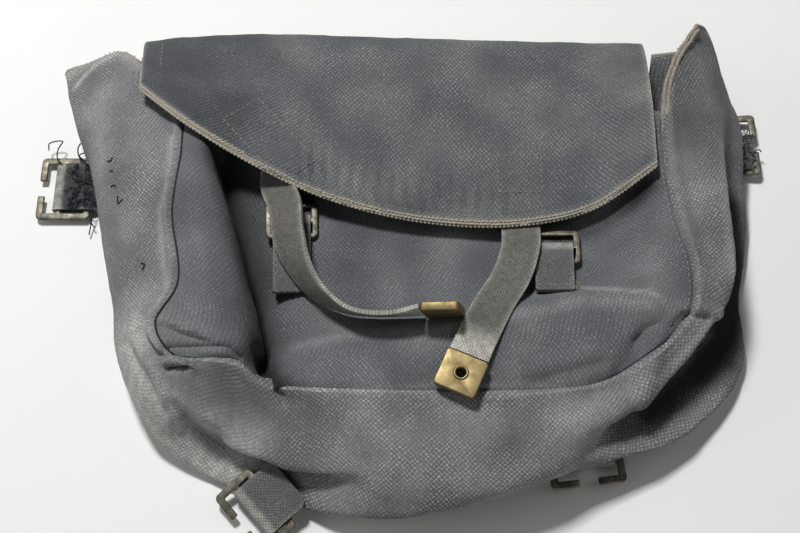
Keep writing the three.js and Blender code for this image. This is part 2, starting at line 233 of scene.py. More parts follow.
def add(tree, kind, settings, inputs):
    """Add a node, set its properties and fill its inputs, where a node stands for its first output."""
    node = tree.nodes.new(kind)
    for key, value in settings.items():
        setattr(node, key, value)
    for key, value in inputs.items():
        if isinstance(value, bpy.types.Node):
            value = value.outputs[0]
        if isinstance(value, bpy.types.NodeSocket):
            tree.links.new(value, node.inputs[key])
        else:
            node.inputs[key].default_value = value
    return node


def new_material(name):
    material = bpy.data.materials.new(name)
    material.use_nodes = True
    material.node_tree.nodes.clear()
    return material, material.node_tree


print("white is", linear("#ffffff")[:3])

# %% [markdown]
# ## Woven cotton webbing
# The cloth is thick cotton webbing, woven so that short bars of thread stand up in staggered rows.
# Dye has gone from the tops of the bars first, which leaves pale dots on a darker ground, and edges
# and ridges have worn to a bare beige. Two crossed cosine waves make that stagger, and they follow
# each cloth's own map in real millimetres. The dots come and go over a few centimetres, as they do on
# cloth that has been rubbed and stretched unevenly. The "wear" attribute goes from 1 through 0 to -1.
# Above 0 it mixes in the worn colour, mostly for wear and in a few places as painted light. Below 0
# it darkens the colour as painted shade in gaps, creases and under the flap. The "matted" attribute
# hides the dots where lint has felted the cloth.

# %% Webbing materials
PICK = 2.4           # spacing of the raised dots along a row, in mm
ROW = 1.3            # spacing of the rows, in mm
GRAIN = {            # patches per mm and detail of each unevenness
    "slack": (0.06, 2),       # the rows wander
    "jolt": (0.4, 1),         # single dots stray
    "area": (0.045, 3),       # the dots come and go
    "fleck": (0.5, 3),        # single dots are bleached
    "patch": (0.25, 5),       # wear is broken up
    "cloud": (0.03, 6),       # dye is uneven
    "fibre": (1.1, 4),        # lint and fibres
}


def woven_cotton(name, ground, crown, worn, pick=PICK, row=ROW, show=1.0):
    material, tree = new_material(name)
    place = add(tree, "ShaderNodeUVMap", {"uv_map": "cloth"}, {})
    size = add(tree, "ShaderNodeMapping", {}, {"Vector": place, "Scale": (1 / MM, 1 / MM, 1 / MM)})
    grain = {}
    for key, (scale, detail) in GRAIN.items():
        grain[key] = add(tree, "ShaderNodeTexNoise", {}, {"Vector": size, "Scale": scale, "Detail": detail})
    shift = add(tree, "ShaderNodeVectorMath", {"operation": "MULTIPLY_ADD"},
                {0: grain["slack"].outputs["Color"], 1: (2.5, 2.5, 0), 2: size})
    stray = add(tree, "ShaderNodeVectorMath", {"operation": "MULTIPLY_ADD"},
                {0: grain["jolt"].outputs["Color"], 1: (1.2, 1.2, 0), 2: shift})
    split = add(tree, "ShaderNodeSeparateXYZ", {}, {0: stray})
    waves = []
    for axis, turn in (("X", 2 * math.pi / pick), ("Y", math.pi / row)):
        angle = add(tree, "ShaderNodeMath", {"operation": "MULTIPLY"}, {0: split.outputs[axis], 1: turn})
        waves.append(add(tree, "ShaderNodeMath", {"operation": "COSINE"}, {0: angle}))
    lattice = add(tree, "ShaderNodeMath", {"operation": "MULTIPLY"}, {0: waves[0], 1: waves[1]})
    dots = add(tree, "ShaderNodeMapRange", {"interpolation_type": "SMOOTHSTEP"},
               {"Value": lattice, "From Min": -0.4, "From Max": 1.0})
    clear = add(tree, "ShaderNodeMapRange", {},
                {"Value": grain["area"], "From Min": 0.36, "From Max": 0.64,
                 "To Min": 0.3 * show, "To Max": show})
    bleach = add(tree, "ShaderNodeMapRange", {},
                 {"Value": grain["fleck"], "From Min": 0.36, "From Max": 0.66,
                  "To Min": 0.2, "To Max": 1.0})
    matted = add(tree, "ShaderNodeAttribute", {"attribute_name": "matted"}, {})
    open_weave = add(tree, "ShaderNodeMath", {"operation": "SUBTRACT", "use_clamp": True},
                     {0: 1.0, 1: matted.outputs["Fac"]})
    crowns = dots
    for part in (clear, open_weave, bleach):
        crowns = add(tree, "ShaderNodeMath", {"operation": "MULTIPLY"}, {0: crowns, 1: part})
    weave = add(tree, "ShaderNodeMix", {"data_type": "RGBA"},
                {0: crowns, 6: linear(ground), 7: linear(crown)})
    marks = add(tree, "ShaderNodeAttribute", {"attribute_name": "wear"}, {})
    broken = add(tree, "ShaderNodeMapRange", {},
                 {"Value": grain["patch"], "From Min": 0.3, "From Max": 0.7,
                  "To Min": 0.6, "To Max": 1.2})
    # Above zero the wear mixes in the worn colour; a few of these lines are painted light.
    rubbed = add(tree, "ShaderNodeMath", {"operation": "MULTIPLY"},
                 {0: marks.outputs["Fac"], 1: broken})
    raised = add(tree, "ShaderNodeMath", {"operation": "MULTIPLY"}, {0: dots, 1: open_weave})
    tops = add(tree, "ShaderNodeMath", {"operation": "MULTIPLY_ADD"}, {0: raised, 1: 0.5, 2: 0.5})
    share = add(tree, "ShaderNodeMath", {"operation": "MULTIPLY", "use_clamp": True},
                {0: rubbed, 1: tops})
    worn_and_lit = add(tree, "ShaderNodeMix", {"data_type": "RGBA"},
               {0: share, 6: weave.outputs[2], 7: linear(worn)})
    # Below zero the wear darkens the colour, down to 0.14 of it: painted shade.
    shade = add(tree, "ShaderNodeMapRange", {},
                {"Value": marks.outputs["Fac"], "From Min": -1.0, "From Max": 0.0,
                 "To Min": 0.14, "To Max": 1.0})
    for source, low, high in (("cloud", 0.84, 1.14), ("fibre", 0.8, 1.2)):
        tone = add(tree, "ShaderNodeMapRange", {},
                   {"Value": grain[source], "From Min": 0.3, "From Max": 0.7,
                    "To Min": low, "To Max": high})
        shade = add(tree, "ShaderNodeMath", {"operation": "MULTIPLY"}, {0: shade, 1: tone})
    colour = add(tree, "ShaderNodeVectorMath", {"operation": "SCALE"},
                 {0: worn_and_lit.outputs[2], "Scale": shade})
    height = add(tree, "ShaderNodeMath", {"operation": "MULTIPLY_ADD"},
                 {0: grain["fibre"], 1: 0.6, 2: crowns})
    bump = add(tree, "ShaderNodeBump", {}, {"Strength": 0.6, "Distance": 0.5 * MM, "Height": height})
    cloth = add(tree, "ShaderNodeBsdfPrincipled", {}, {
        "Base Color": colour, "Normal": bump, "Roughness": 0.92,
        "Specular IOR Level": 0.15, "Sheen Weight": 0.05, "Sheen Roughness": 0.6})
    add(tree, "ShaderNodeOutputMaterial", {}, {"Surface": cloth})
    return material


SIDE_CLOTH = woven_cotton("faded_cotton_webbing", "#5a5b5d", "#abacad", "#c0beb8")
FRONT_CLOTH = woven_cotton("grey_cotton_webbing", "#525457", "#8f9193", "#a1a1a0", show=0.85)
FLAP_CLOTH = woven_cotton("slate_cotton_webbing", "#4b4e51", "#929393", "#b9b1a1", show=0.85)
STRAP_CLOTH = woven_cotton("narrow_cotton_webbing", "#3f3f3d", "#918f87", "#cbc9bf", 1.7, 0.95, 0.7)
TAB_CLOTH = woven_cotton("tab_cotton_webbing", "#47484a", "#8e8f8c", "#a5a39c", 1.9, 1.0)
DARK_CLOTH = woven_cotton("dark_cotton_webbing", "#22242a", "#474b55", "#b4b2a9", 1.6, 0.9)
# The inside's brown tint is its own, and its lightness is painted light that stands in for light in the shaded inside.
INSIDE_CLOTH_PAINTED_LIGHTER = woven_cotton("inside_of_webbing", "#8a8173", "#a89d8b", "#a89d8b", show=0.4)
WEBBING = [SIDE_CLOTH, FRONT_CLOTH, FLAP_CLOTH, STRAP_CLOTH, TAB_CLOTH, DARK_CLOTH, INSIDE_CLOTH_PAINTED_LIGHTER]
print("webbing:", [material.name for material in WEBBING])

# %% [markdown]
# ## Aged brass
# The fittings were stamped from brass sheet and have gone a dull olive brown. High spots are rubbed
# back to a yellow metal, so the base colour moves between the two over a few millimetres, and so does
# the gloss.


# %% Brass
def aged_brass(name, dull, rubbed, rough, smooth):
    material, tree = new_material(name)
    place = add(tree, "ShaderNodeTexCoord", {}, {})
    stain = add(tree, "ShaderNodeTexNoise", {},
                {"Vector": place.outputs["Object"], "Scale": 1 / (5 * MM), "Detail": 6.0, "Roughness": 0.65})
    share = add(tree, "ShaderNodeMapRange", {}, {"Value": stain, "From Min": 0.35, "From Max": 0.68})
    tint = add(tree, "ShaderNodeMix", {"data_type": "RGBA"},
               {0: share, 6: linear(dull), 7: linear(rubbed)})
    gloss = add(tree, "ShaderNodeMapRange", {},
                {"Value": stain, "From Min": 0.3, "From Max": 0.7,
                 "To Min": rough, "To Max": smooth})
    pits = add(tree, "ShaderNodeTexNoise", {},
               {"Vector": place.outputs["Object"], "Scale": 1 / (0.8 * MM), "Detail": 3.0})
    bump = add(tree, "ShaderNodeBump", {}, {"Strength": 0.25, "Distance": 0.2 * MM, "Height": pits})
    metal = add(tree, "ShaderNodeBsdfPrincipled", {}, {
        "Base Color": tint.outputs[2], "Metallic": 1.0, "Roughness": gloss,
        "Normal": bump})
    add(tree, "ShaderNodeOutputMaterial", {}, {"Surface": metal})
    return material


TIP_BRASS = aged_brass("rubbed_brass", "#786b4c", "#95855e", 0.6, 0.48)
HOOK_BRASS = aged_brass("dull_brass", "#55524a", "#8c8779", 0.7, 0.5)
print("brass:", TIP_BRASS.name, HOOK_BRASS.name)

# %% [markdown]
# ## Thread
# Stitches and loose ends are cotton thread, some bleached, some still nearly black. They are too thin
# to show a twist, so a fine noise in the tone is all they get. Felted edges and selvedges take the
# same make with more relief.


# %% Thread materials
def cotton_thread(name, dark, pale, fibre_size=1.2, relief=0.4):
    material, tree = new_material(name)
    place = add(tree, "ShaderNodeTexCoord", {}, {})
    fibre = add(tree, "ShaderNodeTexNoise", {},
                {"Vector": place.outputs["Object"], "Scale": 1 / (fibre_size * MM), "Detail": 3.0})
    tint = add(tree, "ShaderNodeMix", {"data_type": "RGBA"},
               {0: fibre, 6: linear(dark), 7: linear(pale)})
    bump = add(tree, "ShaderNodeBump", {}, {"Strength": relief, "Distance": 0.15 * MM, "Height": fibre})
    thread = add(tree, "ShaderNodeBsdfPrincipled", {}, {
        "Base Color": tint.outputs[2], "Roughness": 0.9, "Specular IOR Level": 0.15,
        "Normal": bump})
    add(tree, "ShaderNodeOutputMaterial", {}, {"Surface": thread})
    return material


PALE_THREAD = cotton_thread("bleached_thread", "#62625f", "#9c9a91")
DARK_THREAD = cotton_thread("black_thread", "#17181b", "#34353a")
GREY_THREAD = cotton_thread("grey_thread", "#2c2e33", "#6d6f74")
EDGE_THREAD = cotton_thread("worn_edge_thread", "#6c6962", "#bfb8a9")
FELTED = cotton_thread("felted_edge", "#5c5851", "#aea698", 0.7, 1.0)
SELVEDGE = cotton_thread("worn_selvedge", "#54534f", "#a8a69c", 0.7, 1.0)
print("threads:", [m.name for m in (PALE_THREAD, DARK_THREAD, GREY_THREAD, EDGE_THREAD, FELTED, SELVEDGE)])

# %% [markdown]
# ## Smooth curves
# Every wall is a skin through a few sections, and every section is a smooth curve through a few
# points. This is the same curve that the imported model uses, so the fine cloth lies where the plain
# solid lies. A second helper spaces the grid evenly along a curve, whatever the spacing of its
# points.


# %% Curve helpers
def smooth_point(points, share):
    """The point at a share of the way along a smooth curve through points."""
    spans = len(points) - 1
    span = max(0, min(int(share * spans), spans - 1))
    part = share * spans - span
    here = points[span]
    there = points[span + 1]
    before = points[span - 1] if span else 2 * here - there
    after = points[span + 2] if span + 2 <= spans else 2 * there - here
    pairs = ((before, here), (here, there), (there, after))
    first, second, third = [max(math.sqrt((b - a).length), 1e-3) for a, b in pairs]
    leave = (here - before) / first - (there - before) / (first + second) + (there - here) / second
    arrive = (there - here) / second - (after - here) / (second + third) + (after - there) / third
    leave = leave * second
    arrive = arrive * second
    bend = 3 * (there - here) - 2 * leave - arrive
    twist = 2 * (here - there) + leave + arrive
    return here + part * (leave + part * (bend + part * twist))


def running_lengths(points):
    """Distance from the first point to each point, along the row."""
    run = [0.0]
    for a, b in zip(points, points[1:]):
        run.append(run[-1] + (b - a).length)
    return run


def even_shares(points, count, samples=400):
    """Shares along a curve that are evenly spaced in length."""
    run = running_lengths([smooth_point(points, i / samples) for i in range(samples + 1)])
    shares = []
    i = 0
    for k in range(count + 1):
        goal = run[-1] * k / count
        while i < samples - 1 and run[i + 1] < goal:
            i += 1
        shares.append((i + (goal - run[i]) / (run[i + 1] - run[i])) / samples)
    return shares


def vectors(points):
    return [Vector(p) for p in points]


print("middle of a test curve:", smooth_point(vectors([(0, 0, 0), (1, 0, 0), (2, 1, 0)]), 0.5))

# %% [markdown]
# ## Cloth sheets
# A sheet starts as a flat grid. Each grid point is moved to its place on the skin, then along the
# skin's normal by whatever folds and seams are there. Its map is the distance along the cloth, so the
# weave never stretches. The wear at each point goes in an attribute that the webbing reads. Thickness
# comes last.

# %% Sheet helpers
Edges = namedtuple("Edges", "left right start end")


def mesh_of(bm, name):
    """Turn an edit mesh to a mesh, and free it."""
    mesh = bpy.data.meshes.new(name)
    bm.to_mesh(mesh)
    bm.free()
    return mesh


def shaped(sketch, name):
    """The mesh that a sketch has with its modifiers. The sketch goes."""
    mesh = bpy.data.meshes.new_from_object(sketch.evaluated_get(bpy.context.evaluated_depsgraph_get()))
    mesh.name = name
    bpy.data.objects.remove(sketch)
    return mesh


def finish_piece(name, mesh, materials, slot, smooth_angle=40):
    """Make an object of a mesh, with smooth faces and sharp corners, on the pack's one body."""
    for material in materials:
        mesh.materials.append(material)
    mesh.shade_smooth()
    mesh.set_sharp_from_angle(angle=math.radians(smooth_angle))
    piece = put(name, mesh)
    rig.ride(piece, "root")
    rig.slot(piece, slot)
    return piece


def cloth_sheet(name, skin, columns, rows, thickness, materials, slot, relief=None, wear=None):
    """Lay a grid of cloth on a skin. skin, relief and wear work in millimetres."""
    bm = bmesh.new()
    layer = bm.verts.layers.float.new("wear")
    felt = bm.verts.layers.float.new("matted")
    uv = bm.loops.layers.uv.new("cloth")
    bmesh.ops.create_grid(bm, x_segments=columns, y_segments=rows, size=0.5)
    bm.verts.index_update()
    wide = columns + 1
    for vert in bm.verts:
        vert.co = skin(vert.index % wide, vert.index // wide)
    bm.normal_update()
    verts = list(bm.verts)
    across = [running_lengths([v.co for v in verts[r * wide:(r + 1) * wide]]) for r in range(rows + 1)]
    along = [running_lengths([v.co for v in verts[c::wide]]) for c in range(wide)]
    middle = [sum(column[row] for column in along) / wide for row in range(rows + 1)]
    print(name, "measures", round(sum(r[-1] for r in across) / (rows + 1)), "by", round(middle[-1]), "mm")
    edges = []
    for vert in verts:
        row, column = divmod(vert.index, wide)
        left = across[row][column]
        start = along[column][row]
        edges.append(Edges(left, across[row][-1] - left, start, along[column][-1] - start))
    if relief:
        lifts = [relief(vert.co, edge) for vert, edge in zip(verts, edges)]
        for vert, lift in zip(verts, lifts):
            vert.co += vert.normal * lift
            vert.co.z = max(vert.co.z, thickness / 2)
    for vert, edge in zip(verts, edges):
        vert[layer] = wear(vert.co, edge) if wear else 0.0
        vert[felt] = matted_share(vert.co)
    for face in bm.faces:
        for loop in face.loops:
            index = loop.vert.index
            edge = edges[index]
            loop[uv].uv = ((edge.left - edge.right) / 2 * MM, middle[index // wide] * MM)
    bmesh.ops.scale(bm, vec=(MM, MM, MM), verts=bm.verts)
    return thicken(name, mesh_of(bm, name), thickness, materials, slot)


def thicken(name, mesh, thickness, materials, slot):
    """Give a sheet its thickness, half to each side, and make it a piece."""
    sketch = put(name + "_sketch", mesh)
    wall = sketch.modifiers.new("thickness", "SOLIDIFY")
    wall.thickness = thickness * MM
    wall.offset = 0
    wall.material_offset = min(1, len(materials) - 1)
    wall.material_offset_rim = 2 if len(materials) > 2 else 0
    return finish_piece(name, shaped(sketch, name), materials, slot)


CLOTH = 2.0
print("cloth is", CLOTH, "mm thick")

# %% [markdown]
# ## Folds, creases, wear and painted shading
# A fold is a line on the plan of the pack with a width and a height, below zero for a groove. Wear is
# a line with a width and a strength, and so are matted patches. Below zero a wear line is painted
# shade in a gap, a crease or under the flap, and a few pale lines are partly painted light on faces
# that turn to or from the lamps. All are short tables.

# %% Tables of folds, wear and painted shading
Fold = namedtuple("Fold", "name path half_width height")
Worn = namedtuple("Worn", "name path half_width strength")
FOLDS = [
    Fold("pillow lip", [(-60, -56), (-54, -52), (-26, -46), (21, -45), (96, -29), (128, -31)], 7, 2.0),
    Fold("pillow foot", [(-56, -43), (-26, -34), (21, -33), (92, -17), (126, -18)], 7, -1.2),
    Fold("right long ridge", [(131, -48), (130, -56), (126, -69), (121, -80)], 5, 3.2),
    Fold("right long valley", [(122, -52), (112, -67), (103, -74), (95, -78)], 5.5, -2.4),
    Fold("right hollow", [(120, -51), (126, -45), (130, -43)], 2.6, -3.2),
    Fold("gusset fold", [(140, -39), (142, -35), (148, -33), (157, -34), (165, -35)], 2.4, 1.8),
    Fold("gusset tuck", [(139, -43), (142, -39), (149, -37.5), (158, -38.5)], 2.2, -2.0),
    Fold("right wrinkle", [(66, -74), (80, -69), (103, -63)], 2.5, -1.1),
    Fold("lower wrinkle", [(70, -67), (98, -59)], 3, 0.9),
    Fold("base valley", [(-50, -84), (-34, -98), (-18, -113)], 10, -3.6),
    Fold("base swell", [(-28, -84), (0, -104)], 10, 1.6),
    Fold("corner ridge", [(-136, -35), (-133, -52), (-124, -65), (-117, -78), (-113, -84)], 2.6, 2.6),
    Fold("corner groove", [(-141, -49), (-131, -64), (-119, -82)], 2.6, -2.0),
    Fold("wrinkle ring", [(-129, -38), (-128, -51), (-122, -60), (-113, -63)], 1.8, -1.9),
    Fold("inner ring", [(-126, -40), (-125, -50), (-119, -57)], 1.6, 1.5),
    Fold("slit", [(-116, -67), (-106, -66.5)], 1.5, -3.6),
    Fold("slit lip", [(-117, -64), (-104, -63.5)], 1.6, 1.4),
    Fold("crease", [(-116, -80), (-103, -89), (-91, -95)], 2.2, -1.8),
    Fold("crease lip", [(-113, -78), (-100, -86), (-89, -91)], 2.4, 1.1),
    Fold("seam wrinkle", [(-118, -58), (-103, -58), (-86, -58), (-80, -62)], 1.5, -1.9),
    Fold("bright spot", [(-119, -86), (-121, -78)], 3, 2.2),
    Fold("corner pucker", [(-119, -44), (-108, -49), (-97, -53)], 1.6, 1.5),
    Fold("corner tuck", [(-118, -47.5), (-107, -52.5), (-96, -55.5)], 1.4, -1.4),
    Fold("end of the gap", [(-71, -58), (-68, -67), (-64, -74), (-60, -79)], 3.2, -5.5),
    Fold("ear fold", [(-189, 117), (-176, 127), (-159, 134)], 2.2, 1.0),
]
WEAR_AND_SHADING = [
    Worn("right ridge",
         [(177, 63), (175, 32), (174, -8), (174, -23), (170, -32), (150, -51), (126, -79)], 4, 0.5),
    Worn("left seam ridge",
         [(-122, 61), (-122, 32), (-125, 17), (-122, -8), (-117, -30), (-127, -41)], 2, 0.4),
    Worn("left front ridge",
         [(-98, 42), (-94, 24), (-90, 6), (-86, -12), (-81, -28), (-75, -47)], 2.5, 0.25),
    Worn("pillow", [(-54, -54), (-26, -48), (21, -47), (96, -31), (128, -33)], 3, 0.35),
    # Painted shade on the right side's low outer band, below its overhanging fold.
    Worn("right outer band",
         [(188, -30), (185, -54), (176, -71), (164, -84), (148, -93), (125, -100)], 15, -1.0),
    # Painted light: a pale band on the lower left faces, which turn away from the key lamp.
    Worn("left skirt", [(-132, -72), (-116, -94), (-96, -104), (-80, -106)], 14, 0.9),
    Worn("corner streak", [(-118, -81), (-114, -91)], 2.4, 0.8),
    # Partly wear and partly painted light on the lower left corner.
    Worn("left corner", [(-139, -50), (-136, -66), (-128, -84), (-120, -92)], 13, 1.0),
    Worn("bright spot", [(-119, -86), (-121, -78)], 3, 0.8),
    Worn("ear streak", [(-189, 117), (-176, 127), (-159, 134)], 1.6, 0.8),
    Worn("left bulge", [(-176, 96), (-168, 76), (-166, 60)], 8, 0.35),
    Worn("ear edge", [(-197, 128), (-181, 131), (-162, 133), (-147, 120)], 5, 0.5),
    Worn("front seam", [(-39, -78), (-7, -76), (48, -75), (77, -75), (105, -72)], 1.6, 0.4),
    # Partly wear and partly a painted highlight along the pillow's crest.
    Worn("pillow crest", [(76, -21), (98, -23), (116, -25), (129, -26), (135, -31)], 1.3, 0.7),
    # The two base lines are partly wear and partly painted light on faces turned to the viewer.
    Worn("base face", [(-24, -110), (40, -110), (92, -96), (116, -78)], 15, 0.12),
    Worn("base right", [(88, -90), (104, -86), (118, -80)], 12, 0.5),
    # The next four lines are painted shade: in the black gap beside the front's left ridge, on the ridge's foot and
    # face, and under the flap's right edge.
    Worn("gap",
         [(-98, 53), (-87, 13), (-79, -16), (-71, -46), (-70, -60), (-66, -70), (-61, -77)], 8, -1.0),
    Worn("foot of the ridge", [(-90, 60), (-79, 13), (-71, -16), (-63, -46)], 12, -0.4),
    Worn("face of the ridge", [(-106, 50), (-98, 14), (-90, -16), (-84, -46)], 9, -0.25),
    Worn("under the flap", [(84, 8), (101, 13), (120, 24), (134, 37)], 5, -0.8),
    Worn("right ear", [(164, 128), (156, 114), (148, 102), (144, 90), (143, 78)], 3, 0.5),
]
MATTED = [
    Worn("left seam", [(-118, 78), (-117, 55), (-119, 17), (-113, -24), (-123, -46), (-113, -61)], 9, 0.75),
    Worn("left corner", [(-124, -58), (-106, -74), (-86, -86), (-66, -88)], 15, 0.85),
    Worn("left ridge", [(-106, 50), (-98, 14), (-90, -16), (-84, -46)], 8, 0.5),
    Worn("right shoulder", [(166, 92), (158, 66)], 13, 0.6),
    Worn("right seam", [(150, 60), (152, 10), (150, -30)], 6, 0.5),
    Worn("right knot", [(130, -38), (120, -56)], 9, 0.8),
    Worn("pillow lip", [(-50, -52), (-26, -46), (21, -45), (96, -29)], 6, 0.45),
    Worn("front", [(-60, 30), (0, 8), (60, 20)], 26, 0.35),
]
FOLD_START = 6      # folds fade out below this height, where the cloth lies on the surface
FOLD_FULL = 16


def away(x, y, path):
    """Distance on the plan from a point to a line of points."""
    best = 1e9
    for (ax, ay), (bx, by) in zip(path, path[1:]):
        run = (bx - ax, by - ay)
        share = ((x - ax) * run[0] + (y - ay) * run[1]) / (run[0] ** 2 + run[1] ** 2)
        share = max(0.0, min(1.0, share))
        best = min(best, math.hypot(x - ax - share * run[0], y - ay - share * run[1]))
    return best


def mix(a, b, share):
    return a + (b - a) * share


def soft_step(value, low, high):
    share = max(0.0, min(1.0, (value - low) / (high - low)))
    return share * share * (3 - 2 * share)


def held(value):
    """A wear value kept between -1 and 1."""
    return max(-1.0, min(1.0, value))


def bump_profile(distance, half_width):
    return math.exp(-(distance / half_width) ** 2)


def fold_lift(point):
    total = 0.0
    for fold in FOLDS:
        distance = away(point.x, point.y, fold.path)
        if distance < 3 * fold.half_width:
            total += fold.height * bump_profile(distance, fold.half_width)
    return total * soft_step(point.z, FOLD_START, FOLD_FULL)


def slack_lift(point, amount):
    """Small unevenness of slack cloth, at two sizes."""
    return amount * (noise.noise(point / 17) + 0.45 * noise.noise(point / 6 + Vector((9, 2, 5))))


def marks_at(point, table):
    """The strength of each line of a table at a point."""
    return [row.strength * bump_profile(away(point.x, point.y, row.path), row.half_width) for row in table]


def line_wear_and_shading(point):
    """Wear and painted shading at a point: the palest line near it and the darkest one, added. Below zero it is
    painted shade.
    """
    marks = marks_at(point, WEAR_AND_SHADING)
    return max(0.0, *marks) + min(0.0, *marks)


def matted_share(point):
    """How much of the weave is hidden at a point, with soft uneven borders."""
    return max(marks_at(point, MATTED)) * (0.8 + 0.4 * noise.noise(point / 8))


print(len(FOLDS), "folds,", len(WEAR_AND_SHADING), "worn lines and", len(MATTED), "matted patches")

# %% [markdown]
# ## The side strip
# One strip of webbing runs from the right ear down the right side, along the base and up the left
# side to the left ear. It slumps like bellows: from its seam with the back it goes out over a low
# bulge, in at a waist, and over a high bulge to its seam with the front. Each row below is one such
# section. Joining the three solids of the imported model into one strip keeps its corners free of
# seams, as they are on the real pack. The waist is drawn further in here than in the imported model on
# the right and above the left base tab, where a black gap shows. At the two lower corners and along
# the left side the bulges stand up to 7 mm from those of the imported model, as the outline asks.

# %% Sections of the side strip
Section = namedtuple("Section", "at back low waist high front")
RIGHT_SIDE = [
    Section("right tip", (146, 133, 33), (170, 132, 40), (176, 128, 50), (171, 132, 60), (164, 128, 70)),
    Section("right ear", (145, 112, 8), (188, 106, 20), (185, 104, 38), (172, 102, 57), (148, 102, 68)),
    Section("right mouth", (144, 90, 1), (195, 94, 19), (187, 91, 34), (172, 86, 54), (143, 78, 60)),
    Section("right upper", (146, 58, 1), (194.5, 60, 15), (178, 60, 31), (175, 58, 50), (143, 50, 54)),
    Section("right middle", (146, 22, 1), (193, 24, 9), (163, 24, 28), (175, 24, 49), (146, 16, 53)),
    Section("right lower", (146, -16, 1), (185.5, -14, 8), (152, -14, 25), (174, -15, 47), (152, -12, 52)),
    Section("right knee", (140, -40, 1), (183.5, -50, 8), (141, -42, 24), (159, -42, 45.5), (148, -36, 50)),
    Section("right corner",
            (116, -48, 1), (147, -90, 17), (114, -72, 25), (119, -82.5, 40.5), (113, -66, 47)),
]
BASE = [
    Section("shoulder", (90, -54, 1), (94, -109.5, 27), (93, -105.5, 34), (92, -96.5, 44), (92, -74, 48)),
    Section("middle", (5, -106, 1), (3, -135.5, 27), (4, -131, 34), (5, -115, 44), (5, -77, 49)),
    Section("foot", (-56, -90, 1), (-58, -123.5, 4), (-53, -101, 16), (-54, -111, 24), (-58, -73, 46)),
    Section("gap", (-70, -88, 1), (-75, -118.5, 4.2), (-68, -95, 16), (-69, -105, 24), (-70, -71, 46)),
    Section("ridge", (-84, -86, 1), (-91, -112.5, 4.5), (-84, -90, 16), (-86, -99, 24), (-82, -63, 55)),
]
LEFT_SIDE = [
    Section("left corner",
            (-114, -84, 1), (-126.5, -90.5, 11), (-123.5, -84.5, 28), (-118.5, -72.5, 46), (-113, -61, 57)),
    Section("left knee", (-134, -62, 1), (-145, -59, 14), (-143, -56, 34), (-135, -50, 50), (-123, -46, 60)),
    Section("left lower", (-136, -22, 1), (-153, -20, 14), (-150, -20, 36), (-134, -21, 54), (-113, -24, 62)),
    Section("left middle", (-137, 18, 1), (-163.5, 20, 14), (-158, 20, 36), (-140, 18, 54), (-119, 17, 62)),
    Section("left upper", (-137, 55, 1), (-173, 60, 14), (-164, 59, 36), (-143, 57, 54), (-117, 55, 62)),
    Section("left mouth", (-137, 92, 1), (-187, 95, 13), (-172, 93, 34), (-150, 88, 51), (-120, 80, 58)),
    Section("left ear", (-170, 112, 6), (-197, 130, 18), (-181, 131, 28), (-162, 133, 36), (-147, 120, 45)),
]
STRIP = RIGHT_SIDE + BASE + LEFT_SIDE
RAILS = {column: vectors([getattr(row, column) for row in STRIP]) for column in Section._fields[1:]}


def strip_share(name):
    """Where a named section is along the strip."""
    return [row.at for row in STRIP].index(name) / (len(STRIP) - 1)


def seam_point(column, start, end, share):
    """A point on one of the strip's lines, at a share of the way between two named sections."""
    return smooth_point(RAILS[column], mix(strip_share(start), strip_share(end), share))


def strip_section(v):
    return [smooth_point(rail, v) for rail in RAILS.values()]


print(len(STRIP), "sections")

# %% Lay the side strip
STRIP_COLUMNS = 64
STRIP_ROWS = 470
SEAM_ROLL = 1.4      # the strip's edge stands up beside its seam with the front
SEAM_DIP = 2.2       # and goes down into it
# The line on the plan along which painted shade darkens the gap under the right side's high bulge.
RIGHT_GAP_SHADE = [(184, 40), (183, 10), (181, -12), (174, -34), (157, -55), (136, -73), (128, -79)]
strip_sections = [strip_section(v) for v in even_shares(RAILS["high"], STRIP_ROWS)]


def strip_skin(column, row):
    point = smooth_point(strip_sections[row], column / STRIP_COLUMNS)
    point.z = max(point.z, CLOTH / 2)
    return point


def strip_relief(point, edge):
    roll = SEAM_ROLL * bump_profile(edge.right - 3.0, 1.5) + 0.6 * bump_profile(edge.right - 6.5, 1.3)
    roll -= SEAM_DIP * bump_profile(edge.right, 1.4)
    at_ear = soft_step(min(edge.start, edge.end), 20, 50)
    return fold_lift(point) + slack_lift(point, 0.7) + roll * at_ear


def strip_wear_and_shading(point, edge):
    hem = 0.55 * bump_profile(min(edge.start, edge.end), 3.5)
    ridge = 0.3 * bump_profile(edge.right - 3.2, 1.4)
    # The pale wear fades out towards the right side: painted shade on the side that turns from the lamps.
    general = mix(0.06, 0.0, soft_step(point.x, 60, 120)) + 0.32 * noise.noise(point / 24)
    # Painted shade in the dark gap under the right side's high bulge.
    gap_shade = bump_profile(away(point.x, point.y, RIGHT_GAP_SHADE), 8) * (1 - soft_step(point.z, 28, 36))
    return held(max(hem, ridge, line_wear_and_shading(point)) + general - 1.6 * gap_shade)


side_strip = cloth_sheet("side_strip", strip_skin, STRIP_COLUMNS, STRIP_ROWS, CLOTH,
                         [SIDE_CLOTH, INSIDE_CLOTH_PAINTED_LIGHTER], "webbing", strip_relief, strip_wear_and_shading)
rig.replaces(side_strip, "gusset_left", "gusset_right", "base_panel")
print("side strip faces:", len(side_strip.data.polygons))

# %% [markdown]
# ## The front
# The front has slumped into the empty pack. Beside its left seam it stands up in a ridge above a
# narrow black gap. The middle lies low, and the lower part swells into a pillow above the base. Its
# two side edges and its bottom edge are the strip's own seam line, so the two cloths meet all round.

